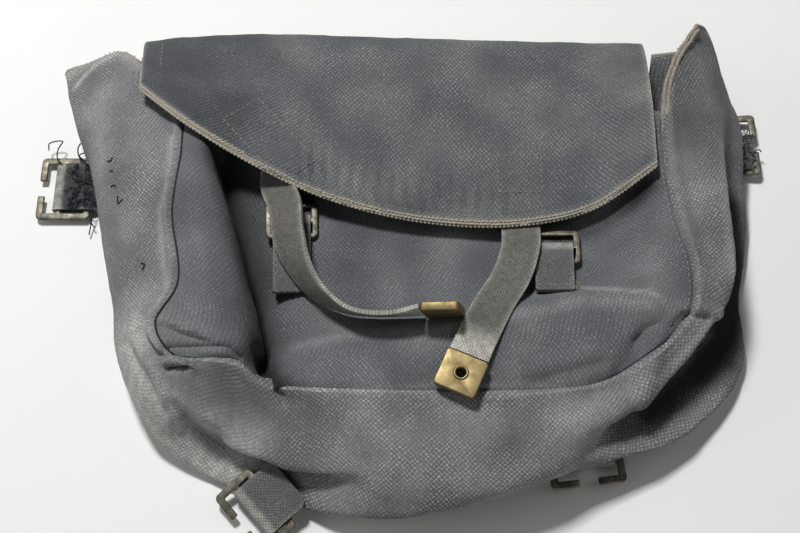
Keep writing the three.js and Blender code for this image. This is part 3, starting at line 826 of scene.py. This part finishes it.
# %% Sections of the front
FrontRow = namedtuple("FrontRow", "at ridge gap foot middle shoulder")
FRONT = [
    FrontRow("base", (-82, -63, 55), (-70, -71, 46), (-58, -73, 46), (5, -77, 49), (92, -74, 48)),
    FrontRow("pillow", (-75, -58, 57), (-69, -59, 35), (-57, -61, 44.5), (6, -59, 53), (96, -52, 53)),
    FrontRow("knee", (-76, -46, 59), (-71, -46, 18), (-58, -46, 38.5), (8, -42, 48), (97, -27, 51)),
    FrontRow("lower", (-84, -16, 60), (-79, -16, 14), (-66, -16, 33.5), (6, -16, 38), (100, -10, 46)),
    FrontRow("middle", (-92, 14, 61), (-87, 13, 16), (-74, 12, 34), (2, 12, 40), (95, 14, 43)),
    FrontRow("upper", (-104, 54, 61), (-98, 53, 30), (-86, 52, 39), (0, 50, 40), (92, 50, 43)),
    FrontRow("mouth", (-108, 92, 54), (-99, 95, 47), (-86, 97, 44), (0, 102, 43), (92, 96, 46)),
]
FRONT_COLUMNS = 150
FRONT_ROWS = 100
FRONT_RAILS = [vectors([getattr(row, column) for row in FRONT]) for column in FrontRow._fields[1:]]


def front_section(v):
    left = seam_point("front", "left corner", "left mouth", v)
    right = seam_point("front", "right corner", "right mouth", v)
    return [left] + [smooth_point(rail, v) for rail in FRONT_RAILS] + [right]


front_columns = even_shares(front_section(0.5), FRONT_COLUMNS)
front_rows = even_shares(FRONT_RAILS[3], FRONT_ROWS)
front_sections = [front_section(v) for v in front_rows]
bottom_section = front_section(0)


def bottom_shift(u):
    """How far the front's bottom edge has to move to lie on the strip's seam line."""
    return seam_point("front", "left corner", "right corner", u) - smooth_point(bottom_section, u)


bottom_shifts = [bottom_shift(u) for u in front_columns]


def front_skin(column, row):
    point = smooth_point(front_sections[row], front_columns[column])
    return point + bottom_shifts[column] * (1 - front_rows[row]) ** 6


def front_relief(point, edge):
    seam = min(edge.left, edge.right, edge.start)
    dip = -SEAM_DIP * bump_profile(seam, 1.6) * (0.4 if seam == edge.start else 1.0)
    return fold_lift(point) + slack_lift(point, 0.7) + dip


def front_wear_and_shading(point, edge):
    general = 0.06 + 0.34 * noise.noise(point / 24)
    return held(line_wear_and_shading(point) + general)


front = cloth_sheet("front", front_skin, FRONT_COLUMNS, FRONT_ROWS, CLOTH,
                    [FRONT_CLOTH, INSIDE_CLOTH_PAINTED_LIGHTER], "webbing", front_relief, front_wear_and_shading)
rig.replaces(front, "front_panel")
print("front faces:", len(front.data.polygons))

# %% [markdown]
# ## The back
# The back lies flat on the surface and shows only from below. Its edge is the strip's other seam
# line, so it is laid between the two side edges, its straight top and the base.

# %% Lay the back
BACK_TOP = 116
BACK_COLUMNS = 40
BACK_ROWS = 34
back_corners = {"left": Vector((-136, BACK_TOP, 1)), "right": Vector((138, BACK_TOP, 1))}
left_edge = [RAILS["back"][STRIP.index(row)] for row in LEFT_SIDE[:6]] + [back_corners["left"]]
right_edge = [RAILS["back"][STRIP.index(row)] for row in RIGHT_SIDE[:1:-1]] + [back_corners["right"]]


def back_skin(column, row):
    u = column / BACK_COLUMNS
    v = row / BACK_ROWS
    left = smooth_point(left_edge, v)
    right = smooth_point(right_edge, v)
    top = mix(back_corners["left"], back_corners["right"], u)
    foot = seam_point("back", "left corner", "right corner", u)
    corners = mix(mix(left_edge[0], right_edge[0], u), top, v)
    point = mix(left, right, u) + mix(foot, top, v) - corners
    return Vector((point.x, point.y, CLOTH / 2))


back = cloth_sheet("back", back_skin, BACK_COLUMNS, BACK_ROWS, CLOTH, [SIDE_CLOTH], "webbing")
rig.replaces(back, "back_panel")
print("back faces:", len(back.data.polygons))

# %% [markdown]
# ## The flap
# The flap leaves the top of the back, folds over and lies askew on the mouth. Rows run from left to
# right: where the line starts on the back, its fold and its front edge. Near the front edge the cloth
# ripples across a row of stitches, and the sewn ends of the closing straps press through from below.
# The front edge lies within 5 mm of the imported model's.

# %% Sections of the flap
FlapLine = namedtuple("FlapLine", "start_x fold mid_z edge")
FLAP = [
    FlapLine(-136, (-145, 133, 46), 58, (-141, 90, 65)),
    FlapLine(-108, (-112, 136, 47), 62, (-112, 65, 68)),
    FlapLine(-74, (-76, 138, 46), 59, (-76, 44, 62)),
    FlapLine(-38, (-38, 137.5, 45), 54, (-38, 28.5, 54)),
    FlapLine(8, (8, 135.5, 45), 52.5, (10, 17, 50.5)),
    FlapLine(58, (57, 133.5, 45), 53, (60, 13.6, 52)),
    FlapLine(98, (97, 131, 46), 55, (101, 22, 54)),
    FlapLine(138, (138, 129, 48), 61, (137, 45, 61)),
]
FLAP_HEEL = (131, 6)     # y and z where the flap leaves the surface
FLAP_REAR = (141, 24)    # y and z of the furthest point of its fold
FLAP_COLUMNS = 160
FLAP_ROWS = 110


def flap_line(line):
    """One line of the flap, from its front edge to the back."""
    fold = Vector(line.fold)
    edge = Vector(line.edge)
    middle = (fold + edge) / 2
    middle.z = line.mid_z
    rear = Vector((mix(line.start_x, fold.x, 0.7), *FLAP_REAR))
    heel = Vector((mix(line.start_x, fold.x, 0.3), *FLAP_HEEL))
    return [edge, middle, fold, rear, heel, Vector((line.start_x, BACK_TOP + 0.5, CLOTH / 2))]


FLAP_LINES = [flap_line(line) for line in FLAP]
flap_columns = even_shares([line[0] for line in FLAP_LINES], FLAP_COLUMNS)
flap_rows = even_shares(FLAP_LINES[4], FLAP_ROWS)
flap_sections = [[smooth_point(line, v) for line in FLAP_LINES] for v in flap_rows]


def flap_skin(column, row):
    return smooth_point(flap_sections[row], flap_columns[column])


STRAP_MARKS = [
    {"middle": (-70, 60), "half": (13, 25), "turn": 42, "height": 0.6},
    {"middle": (64, 43), "half": (13, 12), "turn": 0, "height": 0.6},
]
RIPPLE_SPACING = 7.5
RIPPLE_ENDS = (-62, 70)


def strap_mark(point):
    """How much the sewn end of a strap presses up through the flap."""
    total = 0.0
    for mark in STRAP_MARKS:
        turn = math.radians(mark["turn"])
        dx = point.x - mark["middle"][0]
        dy = point.y - mark["middle"][1]
        x = abs(dx * math.cos(turn) + dy * math.sin(turn)) - mark["half"][0]
        y = abs(dy * math.cos(turn) - dx * math.sin(turn)) - mark["half"][1]
        total += mark["height"] * (1 - soft_step(max(x, y), -1.5, 1.5))
    return total


def flap_relief(point, edge):
    on_top = soft_step(point.z, 40, 48)
    in_row = soft_step(point.x, RIPPLE_ENDS[0], RIPPLE_ENDS[0] + 12)
    in_row *= 1 - soft_step(point.x, RIPPLE_ENDS[1] - 12, RIPPLE_ENDS[1])
    reach = bump_profile(edge.start - 16, 13)
    phase = 2 * math.pi * (point.x + 3 * noise.noise(point / 25)) / RIPPLE_SPACING
    ripple = 0.75 * math.sin(phase) * in_row * reach
    stitched = -0.5 * bump_profile(edge.start - 5.2, 1.1)
    return slack_lift(point, 0.55) + (ripple + strap_mark(point) + stitched) * on_top


def flap_wear(point, edge):
    left_corner = 1 - soft_step(point.x, -118, -96)
    band = 0.75 * bump_profile(edge.start, 2.4 + 2.2 * left_corner)
    sides = 0.5 * bump_profile(min(edge.left, edge.right), 1.6)
    dirt = 0.4 * (1 - soft_step(point.x, -112, -56)) * (1 - max(band, sides))
    general = 0.05 + 0.18 * noise.noise(point / 26)
    return held(max(band, sides) + general - dirt)


flap = cloth_sheet("flap_cloth", flap_skin, FLAP_COLUMNS, FLAP_ROWS, CLOTH, [FLAP_CLOTH, INSIDE_CLOTH_PAINTED_LIGHTER],
                   "dark_webbing", flap_relief, flap_wear)
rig.replaces(flap, "flap")
print("flap faces:", len(flap.data.polygons))

# %% [markdown]
# ## Closing straps
# Two narrow straps come out from under the flap. The left one twists on to its edge as it swings
# across the front, and the right one lies flat and drops to its brass tip. Each row is the middle of
# the webbing and the direction across it.

# %% Lay the closing straps
StrapRow = namedtuple("StrapRow", "middle across")
STRAP_WIDTH = 20
STRAP_THICKNESS = 2.2
STRAP_LEFT = [
    StrapRow((-64, 58, 50.5), (1, 0, 0)),
    StrapRow((-66, 40, 51), (0.85, 0.1, 0.45)),
    StrapRow((-61, 24, 54.8), (0.82, 0.1, 0.5)),
    StrapRow((-58, 4, 55.5), (0.78, 0, 0.6)),
    StrapRow((-51, -14, 53.5), (0.5, 0, 0.87)),
    StrapRow((-40, -28.5, 54), (0.25, -0.12, 0.96)),
    StrapRow((-26, -37.5, 56.5), (0.08, -0.3, 0.95)),
    StrapRow((-7, -40.5, 58.8), (0, -0.34, 0.94)),
    StrapRow((11, -39.5, 61.5), (-0.2, -0.2, 0.96)),
]
STRAP_RIGHT = [
    StrapRow((66, 36, 49), (1, 0.05, 0)),
    StrapRow((64, 14, 49), (1, 0.05, 0.02)),
    StrapRow((63, 0, 53), (1, 0, 0.04)),
    StrapRow((57, -18, 54), (0.98, -0.2, 0.02)),
    StrapRow((48, -33, 55), (0.95, -0.32, 0)),
    StrapRow((38.5, -53, 58), (0.92, -0.4, 0)),
    StrapRow((34.5, -62, 57.5), (0.92, -0.4, 0)),
]
STRAP_COLUMNS = 12
STRAP_ROWS = 100


def lay_strap(name, node, table, worn_end):
    middles = vectors([row.middle for row in table])
    sides = vectors([row.across for row in table])
    shares = even_shares(middles, STRAP_ROWS)

    def skin(column, row):
        share = shares[STRAP_ROWS - row]
        side = smooth_point(sides, share).normalized()
        return smooth_point(middles, share) + side * (column / STRAP_COLUMNS - 0.5) * STRAP_WIDTH

    def wear(point, edge):
        selvedge = 0.4 * bump_profile(min(edge.left, edge.right), 1.4)
        return min(1.0, 0.15 + selvedge + 0.85 * (1 - soft_step(edge.start, 4, worn_end)))

    def relief(point, edge):
        selvedge = -0.35 * bump_profile(min(edge.left, edge.right), 0.9)
        return 0.25 * noise.noise(point / 9) + selvedge

    strap = cloth_sheet(name, skin, STRAP_COLUMNS, STRAP_ROWS, STRAP_THICKNESS,
                        [STRAP_CLOTH, STRAP_CLOTH, SELVEDGE], "strap_webbing", relief, wear)
    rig.replaces(strap, node)
    return strap


strap_left = lay_strap("strap_left", "closing_strap_left", STRAP_LEFT, 18)
strap_right = lay_strap("strap_right", "closing_strap_right", STRAP_RIGHT, 20)
print("straps:", strap_left.name, strap_right.name)

# %% [markdown]
# ## Brass fittings
# The hooks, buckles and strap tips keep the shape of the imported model. A copy of each has its doubled
# points merged and its flat faces joined, and then its edges are rounded, because stamped brass that
# has been handled for years has no sharp edge left.

# %% Round the brass
FLAT = math.radians(2)       # faces that meet at less than this are one face
SHARP = math.radians(60)     # edges that turn by more than this are rounded


def rounded_brass(node, material, radius):
    bm = bmesh.new()
    bm.from_mesh(frame["nodes"][node].data)
    bmesh.ops.remove_doubles(bm, verts=bm.verts, dist=0.001 * MM)
    bmesh.ops.dissolve_limit(bm, angle_limit=FLAT, verts=bm.verts, edges=bm.edges)
    sharp = [edge for edge in bm.edges if edge.calc_face_angle(0) > SHARP]
    bmesh.ops.bevel(bm, geom=sharp, offset=radius * MM, segments=3, profile=0.5, affect="EDGES",
                    material=-1)
    piece = finish_piece(node + "_brass", mesh_of(bm, node + "_brass"), [material], "brass", 30)
    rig.replaces(piece, node)
    return piece


HOOKS = ["side_hook_left", "side_hook_right", "base_hook_left", "base_hook_right"]
BUCKLES = ["front_buckle_left", "front_buckle_right"]
TIPS = ["strap_tip_left", "strap_tip_right"]
for node in HOOKS + BUCKLES:
    rounded_brass(node, HOOK_BRASS, 0.75)
for node in TIPS:
    rounded_brass(node, TIP_BRASS, 0.5)
print("brass pieces:", len(HOOKS + BUCKLES + TIPS))

# %% [markdown]
# ## Webbing loops
# Each hook and buckle hangs in a short piece of webbing that passes round its middle bar and is sewn
# back on itself. A loop is a ribbon along a path in the fitting's own frame, which is then put where
# the fitting is.

# %% Lay the webbing loops
Bar = namedtuple("Bar", "middle inner bar")
Loop = namedtuple("Loop", "width tail layer corner")
Fitting = namedtuple("Fitting", "tab bar loop at heading tip roll")
HOOK_BAR = Bar(3, 13, 4)
BASE_BAR = Bar(3, 6, 4)
BUCKLE_BAR = Bar(2.6, 6, 3)
HOOK_LOOP = Loop(29, 22, 1.4, 4.5)
BUCKLE_LOOP = Loop(20, 32, 1.3, 1)
LONG_LOOP = Loop(20, 60, 1.3, 1)
FITTINGS = [
    Fitting("front_tab_left", BUCKLE_BAR, LONG_LOOP, (-58, 20, 43.6), 92, 4.5, 2),
    Fitting("front_tab_right", BUCKLE_BAR, BUCKLE_LOOP, (81, 2, 47.4), 88, -9, -4),
    Fitting("side_tab_left", HOOK_BAR, HOOK_LOOP, (-196, 61, 4.2), 180, 0, 0),
    Fitting("side_tab_right", HOOK_BAR, HOOK_LOOP, (197, 89, 5.5), 0, 6, 0),
    Fitting("base_tab_left", BASE_BAR, HOOK_LOOP, (-73.5, -128.5, 8), 220, -15, -5),
    Fitting("base_tab_right", BASE_BAR, HOOK_LOOP, (97, -102, 5.5), 277, -3, 0),
]
BRASS = 2.2
CLEAR = 0.4
DARK_TABS = ["side_tab_left"]
LOOP_COLUMNS = 16
LOOP_ROWS = 60


def fitting_place(fitting):
    turn = Matrix.Rotation(math.radians(fitting.heading), 4, "Z")
    tip = Matrix.Rotation(math.radians(-fitting.tip), 4, "Y")
    roll = Matrix.Rotation(math.radians(fitting.roll), 4, "X")
    return Matrix.Translation(fitting.at) @ turn @ tip @ roll


def loop_path(bar, loop):
    """Half of the loop from its sewn end to its turn, then the same back below."""
    half = bar.middle / 2
    tail = -half - bar.inner - bar.bar
    rise = BRASS / 2 + CLEAR + loop.layer / 2
    end = tail - CLEAR - loop.tail / 2
    turn = half + CLEAR + loop.layer / 2
    upper = [(end, loop.layer / 2 + 0.05), (tail - 3, loop.layer / 2 + 0.4), (tail, rise), (-half, rise)]
    upper += [(half * 0.6, rise), (turn - 0.4, rise * 0.72)]
    lower = [(x, -z) for x, z in reversed(upper)]
    return [Vector((x, 0, z)) for x, z in upper + [(turn, 0)] + lower]


def corner_inset(distance, radius):
    """How far a rounded corner cuts in from the side, at a distance from the end."""
    if distance >= radius:
        return 0.0
    return radius - math.sqrt(radius ** 2 - (radius - distance) ** 2)


def lay_loop(fitting):
    path = loop_path(fitting.bar, fitting.loop)
    shares = even_shares(path, LOOP_ROWS)
    place = fitting_place(fitting)
    run = running_lengths(path)[-1]

    def skin(column, row):
        point = smooth_point(path, shares[row])
        inset = corner_inset(min(row, LOOP_ROWS - row) / LOOP_ROWS * run, fitting.loop.corner)
        point.y = (column / LOOP_COLUMNS - 0.5) * (fitting.loop.width - 2 * inset)
        return place @ point

    def wear(point, edge):
        turn = 1 - soft_step(abs(edge.start - edge.end), 9, 15)
        return min(1.0, 0.1 + 0.8 * turn + 0.3 * bump_profile(min(edge.left, edge.right), 1.2))

    cloth = DARK_CLOTH if fitting.tab in DARK_TABS else TAB_CLOTH
    loop = cloth_sheet(fitting.tab + "_loop", skin, LOOP_COLUMNS, LOOP_ROWS, fitting.loop.layer,
                       [cloth, cloth, SELVEDGE], "strap_webbing", None, wear)
    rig.replaces(loop, fitting.tab)
    return loop


loops = {fitting.tab: lay_loop(fitting) for fitting in FITTINGS}
print("loops:", sorted(loops))

# %% [markdown]
# ## Thread work
# Seams, edges and loose ends are all round thread. A path of points becomes a thread by giving a
# curve a round section and turning it to a mesh. A row of stitches is many short threads that dip
# into the cloth at both ends, and a loose end is a free curl.


# %% Thread helpers
def threads(name, paths, radius, material, slot, sides=1):
    """Round threads along paths in millimetres, as one piece."""
    curve = bpy.data.curves.new(name + "_paths", "CURVE")
    curve.dimensions = "3D"
    curve.bevel_depth = radius * MM
    curve.bevel_resolution = sides
    curve.use_fill_caps = True
    for path in paths:
        spline = curve.splines.new("POLY")
        spline.points.add(len(path) - 1)
        for point, place in zip(spline.points, path):
            point.co = (*(Vector(place) * MM), 1)
    return finish_piece(name, shaped(put(name + "_sketch", curve), name), [material], slot)


def place_along(path, distance):
    """The point at a distance along a row of points, and the direction there."""
    for a, b in zip(path, path[1:]):
        step = (b - a).length
        if distance <= step:
            return a + (b - a) * (distance / step), (b - a).normalized()
        distance -= step
    return path[-1], (path[-1] - path[-2]).normalized()


def cloth_below(piece):
    """A function that finds the cloth straight below a place on the plan, in millimetres."""
    mesh = piece.data
    tree = BVHTree.FromPolygons([v.co for v in mesh.vertices], [p.vertices for p in mesh.polygons])

    def find(place, lift):
        above = Vector((place[0], place[1], 70)) * MM
        hit, normal, _, _ = tree.ray_cast(above, Vector((0, 0, -1)))
        if hit is None:
            hit, normal, _, _ = tree.find_nearest(above)
        return hit / MM + normal * lift

    return find


def stitch_row(find, path, length, gap, rise=0.35, start=0.0):
    """Short stitches along a line on the plan, each dipping into the cloth at both ends."""
    path = [Vector((*p[:2], 0)) for p in path]
    shares = ((0, -0.3), (0.25, rise * 0.7), (0.5, rise), (0.75, rise * 0.7), (1, -0.3))
    stitches = []
    whole = running_lengths(path)[-1]
    while start + length < whole:
        places = [(place_along(path, start + length * share)[0], lift) for share, lift in shares]
        stitches.append([find(place, lift) for place, lift in places])
        start += length + gap
    return stitches


def curled(points, steps=24):
    """A smooth path through a few points of a loose thread."""
    return [smooth_point(vectors(points), i / steps) for i in range(steps + 1)]


on_side = cloth_below(side_strip)
on_front = cloth_below(front)
on_flap = cloth_below(flap)
print("cloth under the flap's middle:", on_flap((0, 80), 0))

# %% [markdown]
# ## Worn edges
# The flap's front and left edges are woven selvedges whose crowns have worn to pale beads, in two
# rows and in three at the left corner. Each row is a run of short round stitches on a cord that
# rounds the edge. The ears are hemmed with a soft felted roll, which is double on the right ear,
# where the cloth is folded.

# %% Lay the edges
BEAD = {"length": 1.5, "gap": 0.7, "rise": 0.4, "radius": 0.6}


def seam_line(start, end, steps=60):
    return [seam_point("front", start, end, i / steps) for i in range(steps + 1)]


def bead_row(path, start):
    return stitch_row(on_flap, path, BEAD["length"], BEAD["gap"], BEAD["rise"], start)


def rim_row(path, start):
    """Beads on the outer side of an edge."""
    row = []
    whole = running_lengths(path)[-1]
    while start + BEAD["length"] < whole:
        bead = []
        for share, out in ((0, 0.2), (0.25, 0.7), (0.5, 0.85), (0.75, 0.7), (1, 0.2)):
            middle, ahead = place_along(path, start + BEAD["length"] * share)
            bead.append(middle + ahead.cross(Vector((0, 0, 1))).normalized() * out)
        row.append(bead)
        start += BEAD["length"] + BEAD["gap"]
    return row


flap_front = [flap_skin(c, 0) for c in range(FLAP_COLUMNS + 1)]
flap_left = [flap_skin(0, r) for r in range(44, -1, -1)]
flap_edge = threads("flap_edge", [flap_left + flap_front[1:]], 0.8, FELTED, "dark_webbing", 2)
edge_beads = bead_row(flap_left, 0.0) + bead_row(flap_front, 0.0)
edge_beads += bead_row([flap_skin(c, 1) for c in range(FLAP_COLUMNS + 1)], 1.05)
edge_beads += rim_row(flap_front, 1.05)
edge_beads += bead_row([flap_skin(c, 2) for c in range(FLAP_COLUMNS // 4)], 0.0)
flap_beads = threads("flap_beads", edge_beads, BEAD["radius"], EDGE_THREAD, "dark_webbing")
ear_front = seam_line("right tip", "right mouth")
ear_front += seam_line("right mouth", "right upper", 20)[1:]
noise.seed_set(3)
for i, point in enumerate(ear_front):
    point += 0.5 * noise.noise_vector(point / 5) - Vector((0, 0, 2.2 * soft_step(i, 52, 80)))
ear_double = [point + Vector((2.3, -0.4, 0.6)) for point in ear_front[3:]]
ear_right_end = [smooth_point(strip_section(0), u / 40) for u in range(41)]
ear_left_end = [smooth_point(strip_section(1), u / 40) for u in range(8, 41)]
ear_lines = [ear_front, ear_double, ear_right_end, ear_left_end]
ear_edge = threads("ear_edge", ear_lines, 1.05, FELTED, "webbing", 2)
dice = random.Random(3)
fibres = []
for line in (ear_front[:60], ear_double[:56], ear_left_end):
    for i in range(110):
        root, _ = place_along(line, dice.uniform(0, running_lengths(line)[-1]))
        reach = Vector([dice.uniform(-1, 1) for _ in range(3)]).normalized()
        bend = Vector([dice.uniform(-0.5, 0.5) for _ in range(3)])
        fibres.append([root + reach * 0.7, root + reach * 1.3, root + reach * 1.8 + bend])
ear_fuzz = threads("ear_fuzz", fibres, 0.13, FELTED, "webbing")
print("edge faces:", [len(piece.data.polygons) for piece in (flap_edge, flap_beads, ear_edge)])

# %% [markdown]
# ## Seams and stitches
# The left seam of the front is a thin dark line at the bottom of a groove. The right seam shows the
# pale dots of its stitches. On the flap a row of stitches runs inside the front edge, a short one
# down its left side, and two outlines show where the straps are sewn on below.

# %% Sew the seams
left_seam = seam_line("left mouth", "left corner", 160)
for point in left_seam:
    point.z = max(on_side(point, 0).z, on_front(point, 0).z) - 0.15
seam_thread = threads("left_seam_thread", [left_seam], 0.6, DARK_THREAD, "webbing", 2)
right_seam = [point - Vector((2.5, 0, 0)) for point in seam_line("right mouth", "right knee")]
right_rows = stitch_row(on_front, right_seam[3:], 1.8, 1.6)
right_stitches = threads("right_seam_stitches", right_rows, 0.32, PALE_THREAD, "webbing")


def mark_outline(mark, inset=1.2):
    """The four corners of a strap's sewn end on the flap, closed."""
    turn = Matrix.Rotation(math.radians(mark["turn"]), 3, "Z")
    x = mark["half"][0] - inset
    y = mark["half"][1] - inset
    corners = [(-x, -y), (x, -y), (x, y), (-x, y), (-x, -y)]
    return [turn @ Vector((*corner, 0)) + Vector((*mark["middle"], 0)) for corner in corners]


flap_rows_sewn = [
    [flap_skin(c, 3) for c in range(2, FLAP_COLUMNS - 1)],
    [(-134, 128), (-133, 116), (-132.5, 107)],
] + [mark_outline(mark) for mark in STRAP_MARKS]
flap_stitches = []
for line in flap_rows_sewn:
    flap_stitches += stitch_row(on_flap, line, 2.0, 1.5)
flap_sewing = threads("flap_stitches", flap_stitches, 0.28, PALE_THREAD, "dark_webbing")
print("stitches on the flap:", len(flap_stitches))

# %% [markdown]
# ## Loose ends
# Black thread is left where tabs and straps were sewn: hooked remnants on the left side, curls and a
# fray at the left hook's tab, a thick line across the end of one front tab and a tuft at the other.
# The right hook's tab has a greyer fray.

# %% Lay the loose ends
REMNANTS = [
    [(-161, 58.5), (-158.5, 57.5), (-157.5, 59)],
    [(-158.5, 51.5), (-156.5, 50)],
    [(-157, 41.5), (-154.5, 41), (-153.5, 39)],
    [(-151.5, 33), (-151, 28.5), (-148, 29.5)],
    [(-133.5, -11), (-131.5, -12), (-132.5, -15)],
]
CURLS = [
    [(-205, 85, 7), (-205, 89, 8), (-197, 90, 9), (-199, 85, 9), (-199, 79, 8.5), (-196, 75, 7)],
    [(-180, 74, 8), (-186, 79, 9), (-187, 84, 11), (-185, 87, 12), (-182, 82, 11), (-186, 80, 10),
     (-182, 76, 9)],
    [(-177, 32, 3), (-176, 38, 5), (-175, 43, 8)],
    [(-174, 36, 4), (-176, 39, 6), (-175, 44, 8)],
    [(206, 83, 8.5), (209, 84.5, 9), (210.5, 83, 8.5)],
]
Frayed = namedtuple("Frayed", "tab count x y z reach thread")
FRAYED = [
    Frayed("side_tab_left", 70, (-190, -173), (46, 76), 7.2, 4, DARK_THREAD),
    Frayed("side_tab_right", 190, (199, 206), (72, 96), 7.0, 2.2, GREY_THREAD),
]
remnants = []
for path in REMNANTS:
    remnants.append(curled([on_side(place, 0.35) for place in path], 10))
dice = random.Random(5)
frays = {}
for row in FRAYED:
    paths = []
    for i in range(row.count):
        start = Vector((dice.uniform(*row.x), dice.uniform(*row.y), row.z + dice.uniform(0, 1.2)))
        reach = [dice.uniform(-row.reach, row.reach) for _ in range(4)]
        middle = start + Vector((reach[0], reach[1], 1.4))
        paths.append(curled([start, middle, start + Vector((reach[2], reach[3], 0))], 6))
    frays[row.tab] = threads(row.tab + "_fray", paths, 0.24, row.thread, "strap_webbing")
tuft = []
for i in range(14):
    x = 90 + dice.uniform(-1.5, 1.5)
    y = -22 + dice.uniform(-3, 3)
    tip = (x + dice.uniform(0, 3), y + dice.uniform(-2, 2), 51 + dice.uniform(0, 2))
    tuft.append(curled([(x - 2, y, 50), (x, y, 51.5), tip], 6))
loose = threads("loose_threads", remnants + [curled(c) for c in CURLS], 0.38, DARK_THREAD, "strap_webbing")
tuft_piece = threads("tab_tuft", tuft, 0.2, PALE_THREAD, "strap_webbing")
print("loose ends:", len(remnants) + len(CURLS), "frays:", sorted(frays), "tuft:", len(tuft))


# %% Sew the front tabs
def tab_end(fitting, inward, reach, steps=16):
    """A line across a tab, near its sewn end, on top of the webbing."""
    end = loop_path(fitting.bar, fitting.loop)[0].x + inward
    place = fitting_place(fitting)
    across = [mix(-reach, reach, i / steps) for i in range(steps + 1)]
    return [place @ Vector((end + 0.3 * math.sin(3 * y), y, fitting.loop.layer + 0.2)) for y in across]


end_line = tab_end(FITTINGS[0], -0.3, 10.2)
end_thread = threads("tab_end_thread", [end_line], 0.6, DARK_THREAD, "strap_webbing", 2)
tab_line = tab_end(FITTINGS[1], 3.0, 8.5, 40)
tab_rows = [tab_line[i:i + 4] for i in range(0, 37, 6)]
tab_sewing = threads("tab_stitches", tab_rows, 0.36, PALE_THREAD, "strap_webbing")
print("tab threads:", end_thread.name, tab_sewing.name)

# %% [markdown]
# ## Eyelet
# The right strap's tip has a hole with a raised brass rim, pressed round its edge.

# %% Press the eyelet
RIM = {"ring": 3.2, "thick": 0.75, "above": 2.1, "ahead": 10.6}
last = STRAP_RIGHT[-1]
onwards = (Vector(last.middle) - Vector(STRAP_RIGHT[-2].middle)).normalized()
tip_up = onwards.cross(Vector(last.across)).normalized()
tip_side = tip_up.cross(onwards)
if tip_up.z < 0:
    tip_up = -tip_up
rim_middle = Vector(last.middle) + onwards * RIM["ahead"] + tip_up * RIM["above"]
turns = [2 * math.pi * i / 32 for i in range(33)]
rim_path = [rim_middle + RIM["ring"] * (math.cos(a) * onwards + math.sin(a) * tip_side) for a in turns]
rim = threads("eyelet_rim", [rim_path], RIM["thick"], TIP_BRASS, "brass", 3)
print("rim faces:", len(rim.data.polygons))

# %% [markdown]
# ## What is cloth
# Each cloth is declared as a sheet: the size it was cut to, which is its length along the laid grid,
# what it lies on, and the thread work that is sewn to it.

Sheet = namedtuple("Sheet", "piece flat held lies_on sewn")
SHEETS = [
    Sheet(side_strip, (115, 726), "folded", [], [ear_edge, ear_fuzz, seam_thread, loose]),
    Sheet(front, (300, 174), "draped", [side_strip], [right_stitches]),
    Sheet(back, (283, 205), "laid", [], []),
    Sheet(flap, (287, 162), "folded", [front], [flap_edge, flap_beads, flap_sewing]),
    Sheet(strap_left, (20, 149), "laid", [front], []),
    Sheet(strap_right, (20, 106), "laid", [front], []),
    Sheet(loops["front_tab_left"], (20, 89), "folded", [front], [end_thread]),
    Sheet(loops["front_tab_right"], (20, 62), "folded", [front], [tab_sewing, tuft_piece]),
    Sheet(loops["side_tab_left"], (29, 70), "folded", [side_strip], [frays["side_tab_left"]]),
    Sheet(loops["side_tab_right"], (29, 70), "folded", [side_strip], [frays["side_tab_right"]]),
    Sheet(loops["base_tab_left"], (28, 56), "folded", [side_strip], []),
    Sheet(loops["base_tab_right"], (28, 56), "folded", [side_strip], []),
]
for row in SHEETS:
    flat = (row.flat[0] * MM, row.flat[1] * MM)
    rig.sheet(row.piece, flat=flat, held=row.held, rests_on=row.lies_on, with_pieces=row.sewn)
print("sheets:", len(SHEETS))

# %% [markdown]
# ## Floor
# The pack lies on a plain pale surface. It is a staged object, not part of the pack.

# %% Floor
FLOOR_SIDE = 6.0
bm = bmesh.new()
bmesh.ops.create_grid(bm, x_segments=1, y_segments=1, size=FLOOR_SIDE / 2)
floor_mesh = mesh_of(bm, "floor")
paper, paper_tree = new_material("pale_paper")
paper_shader = add(paper_tree, "ShaderNodeBsdfPrincipled", {},
                   {"Base Color": linear("#e2e2e0"), "Roughness": 0.9})
add(paper_tree, "ShaderNodeOutputMaterial", {}, {"Surface": paper_shader})
floor_mesh.materials.append(paper)
floor = put("floor", floor_mesh)
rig.stage(floor)
print("floor side", FLOOR_SIDE, "m")

# %% [markdown]
# ## Sizes
# The sizes of the imported model and of this one are written side by side.

# %% Sizes and finish
low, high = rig.bounds()
with open("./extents.json", "w") as file:
    json.dump({"cad": [list(cad_low), list(cad_high)], "visual": [list(low), list(high)]}, file)
print("visual box:", [round(c, 3) for c in low], [round(c, 3) for c in high])
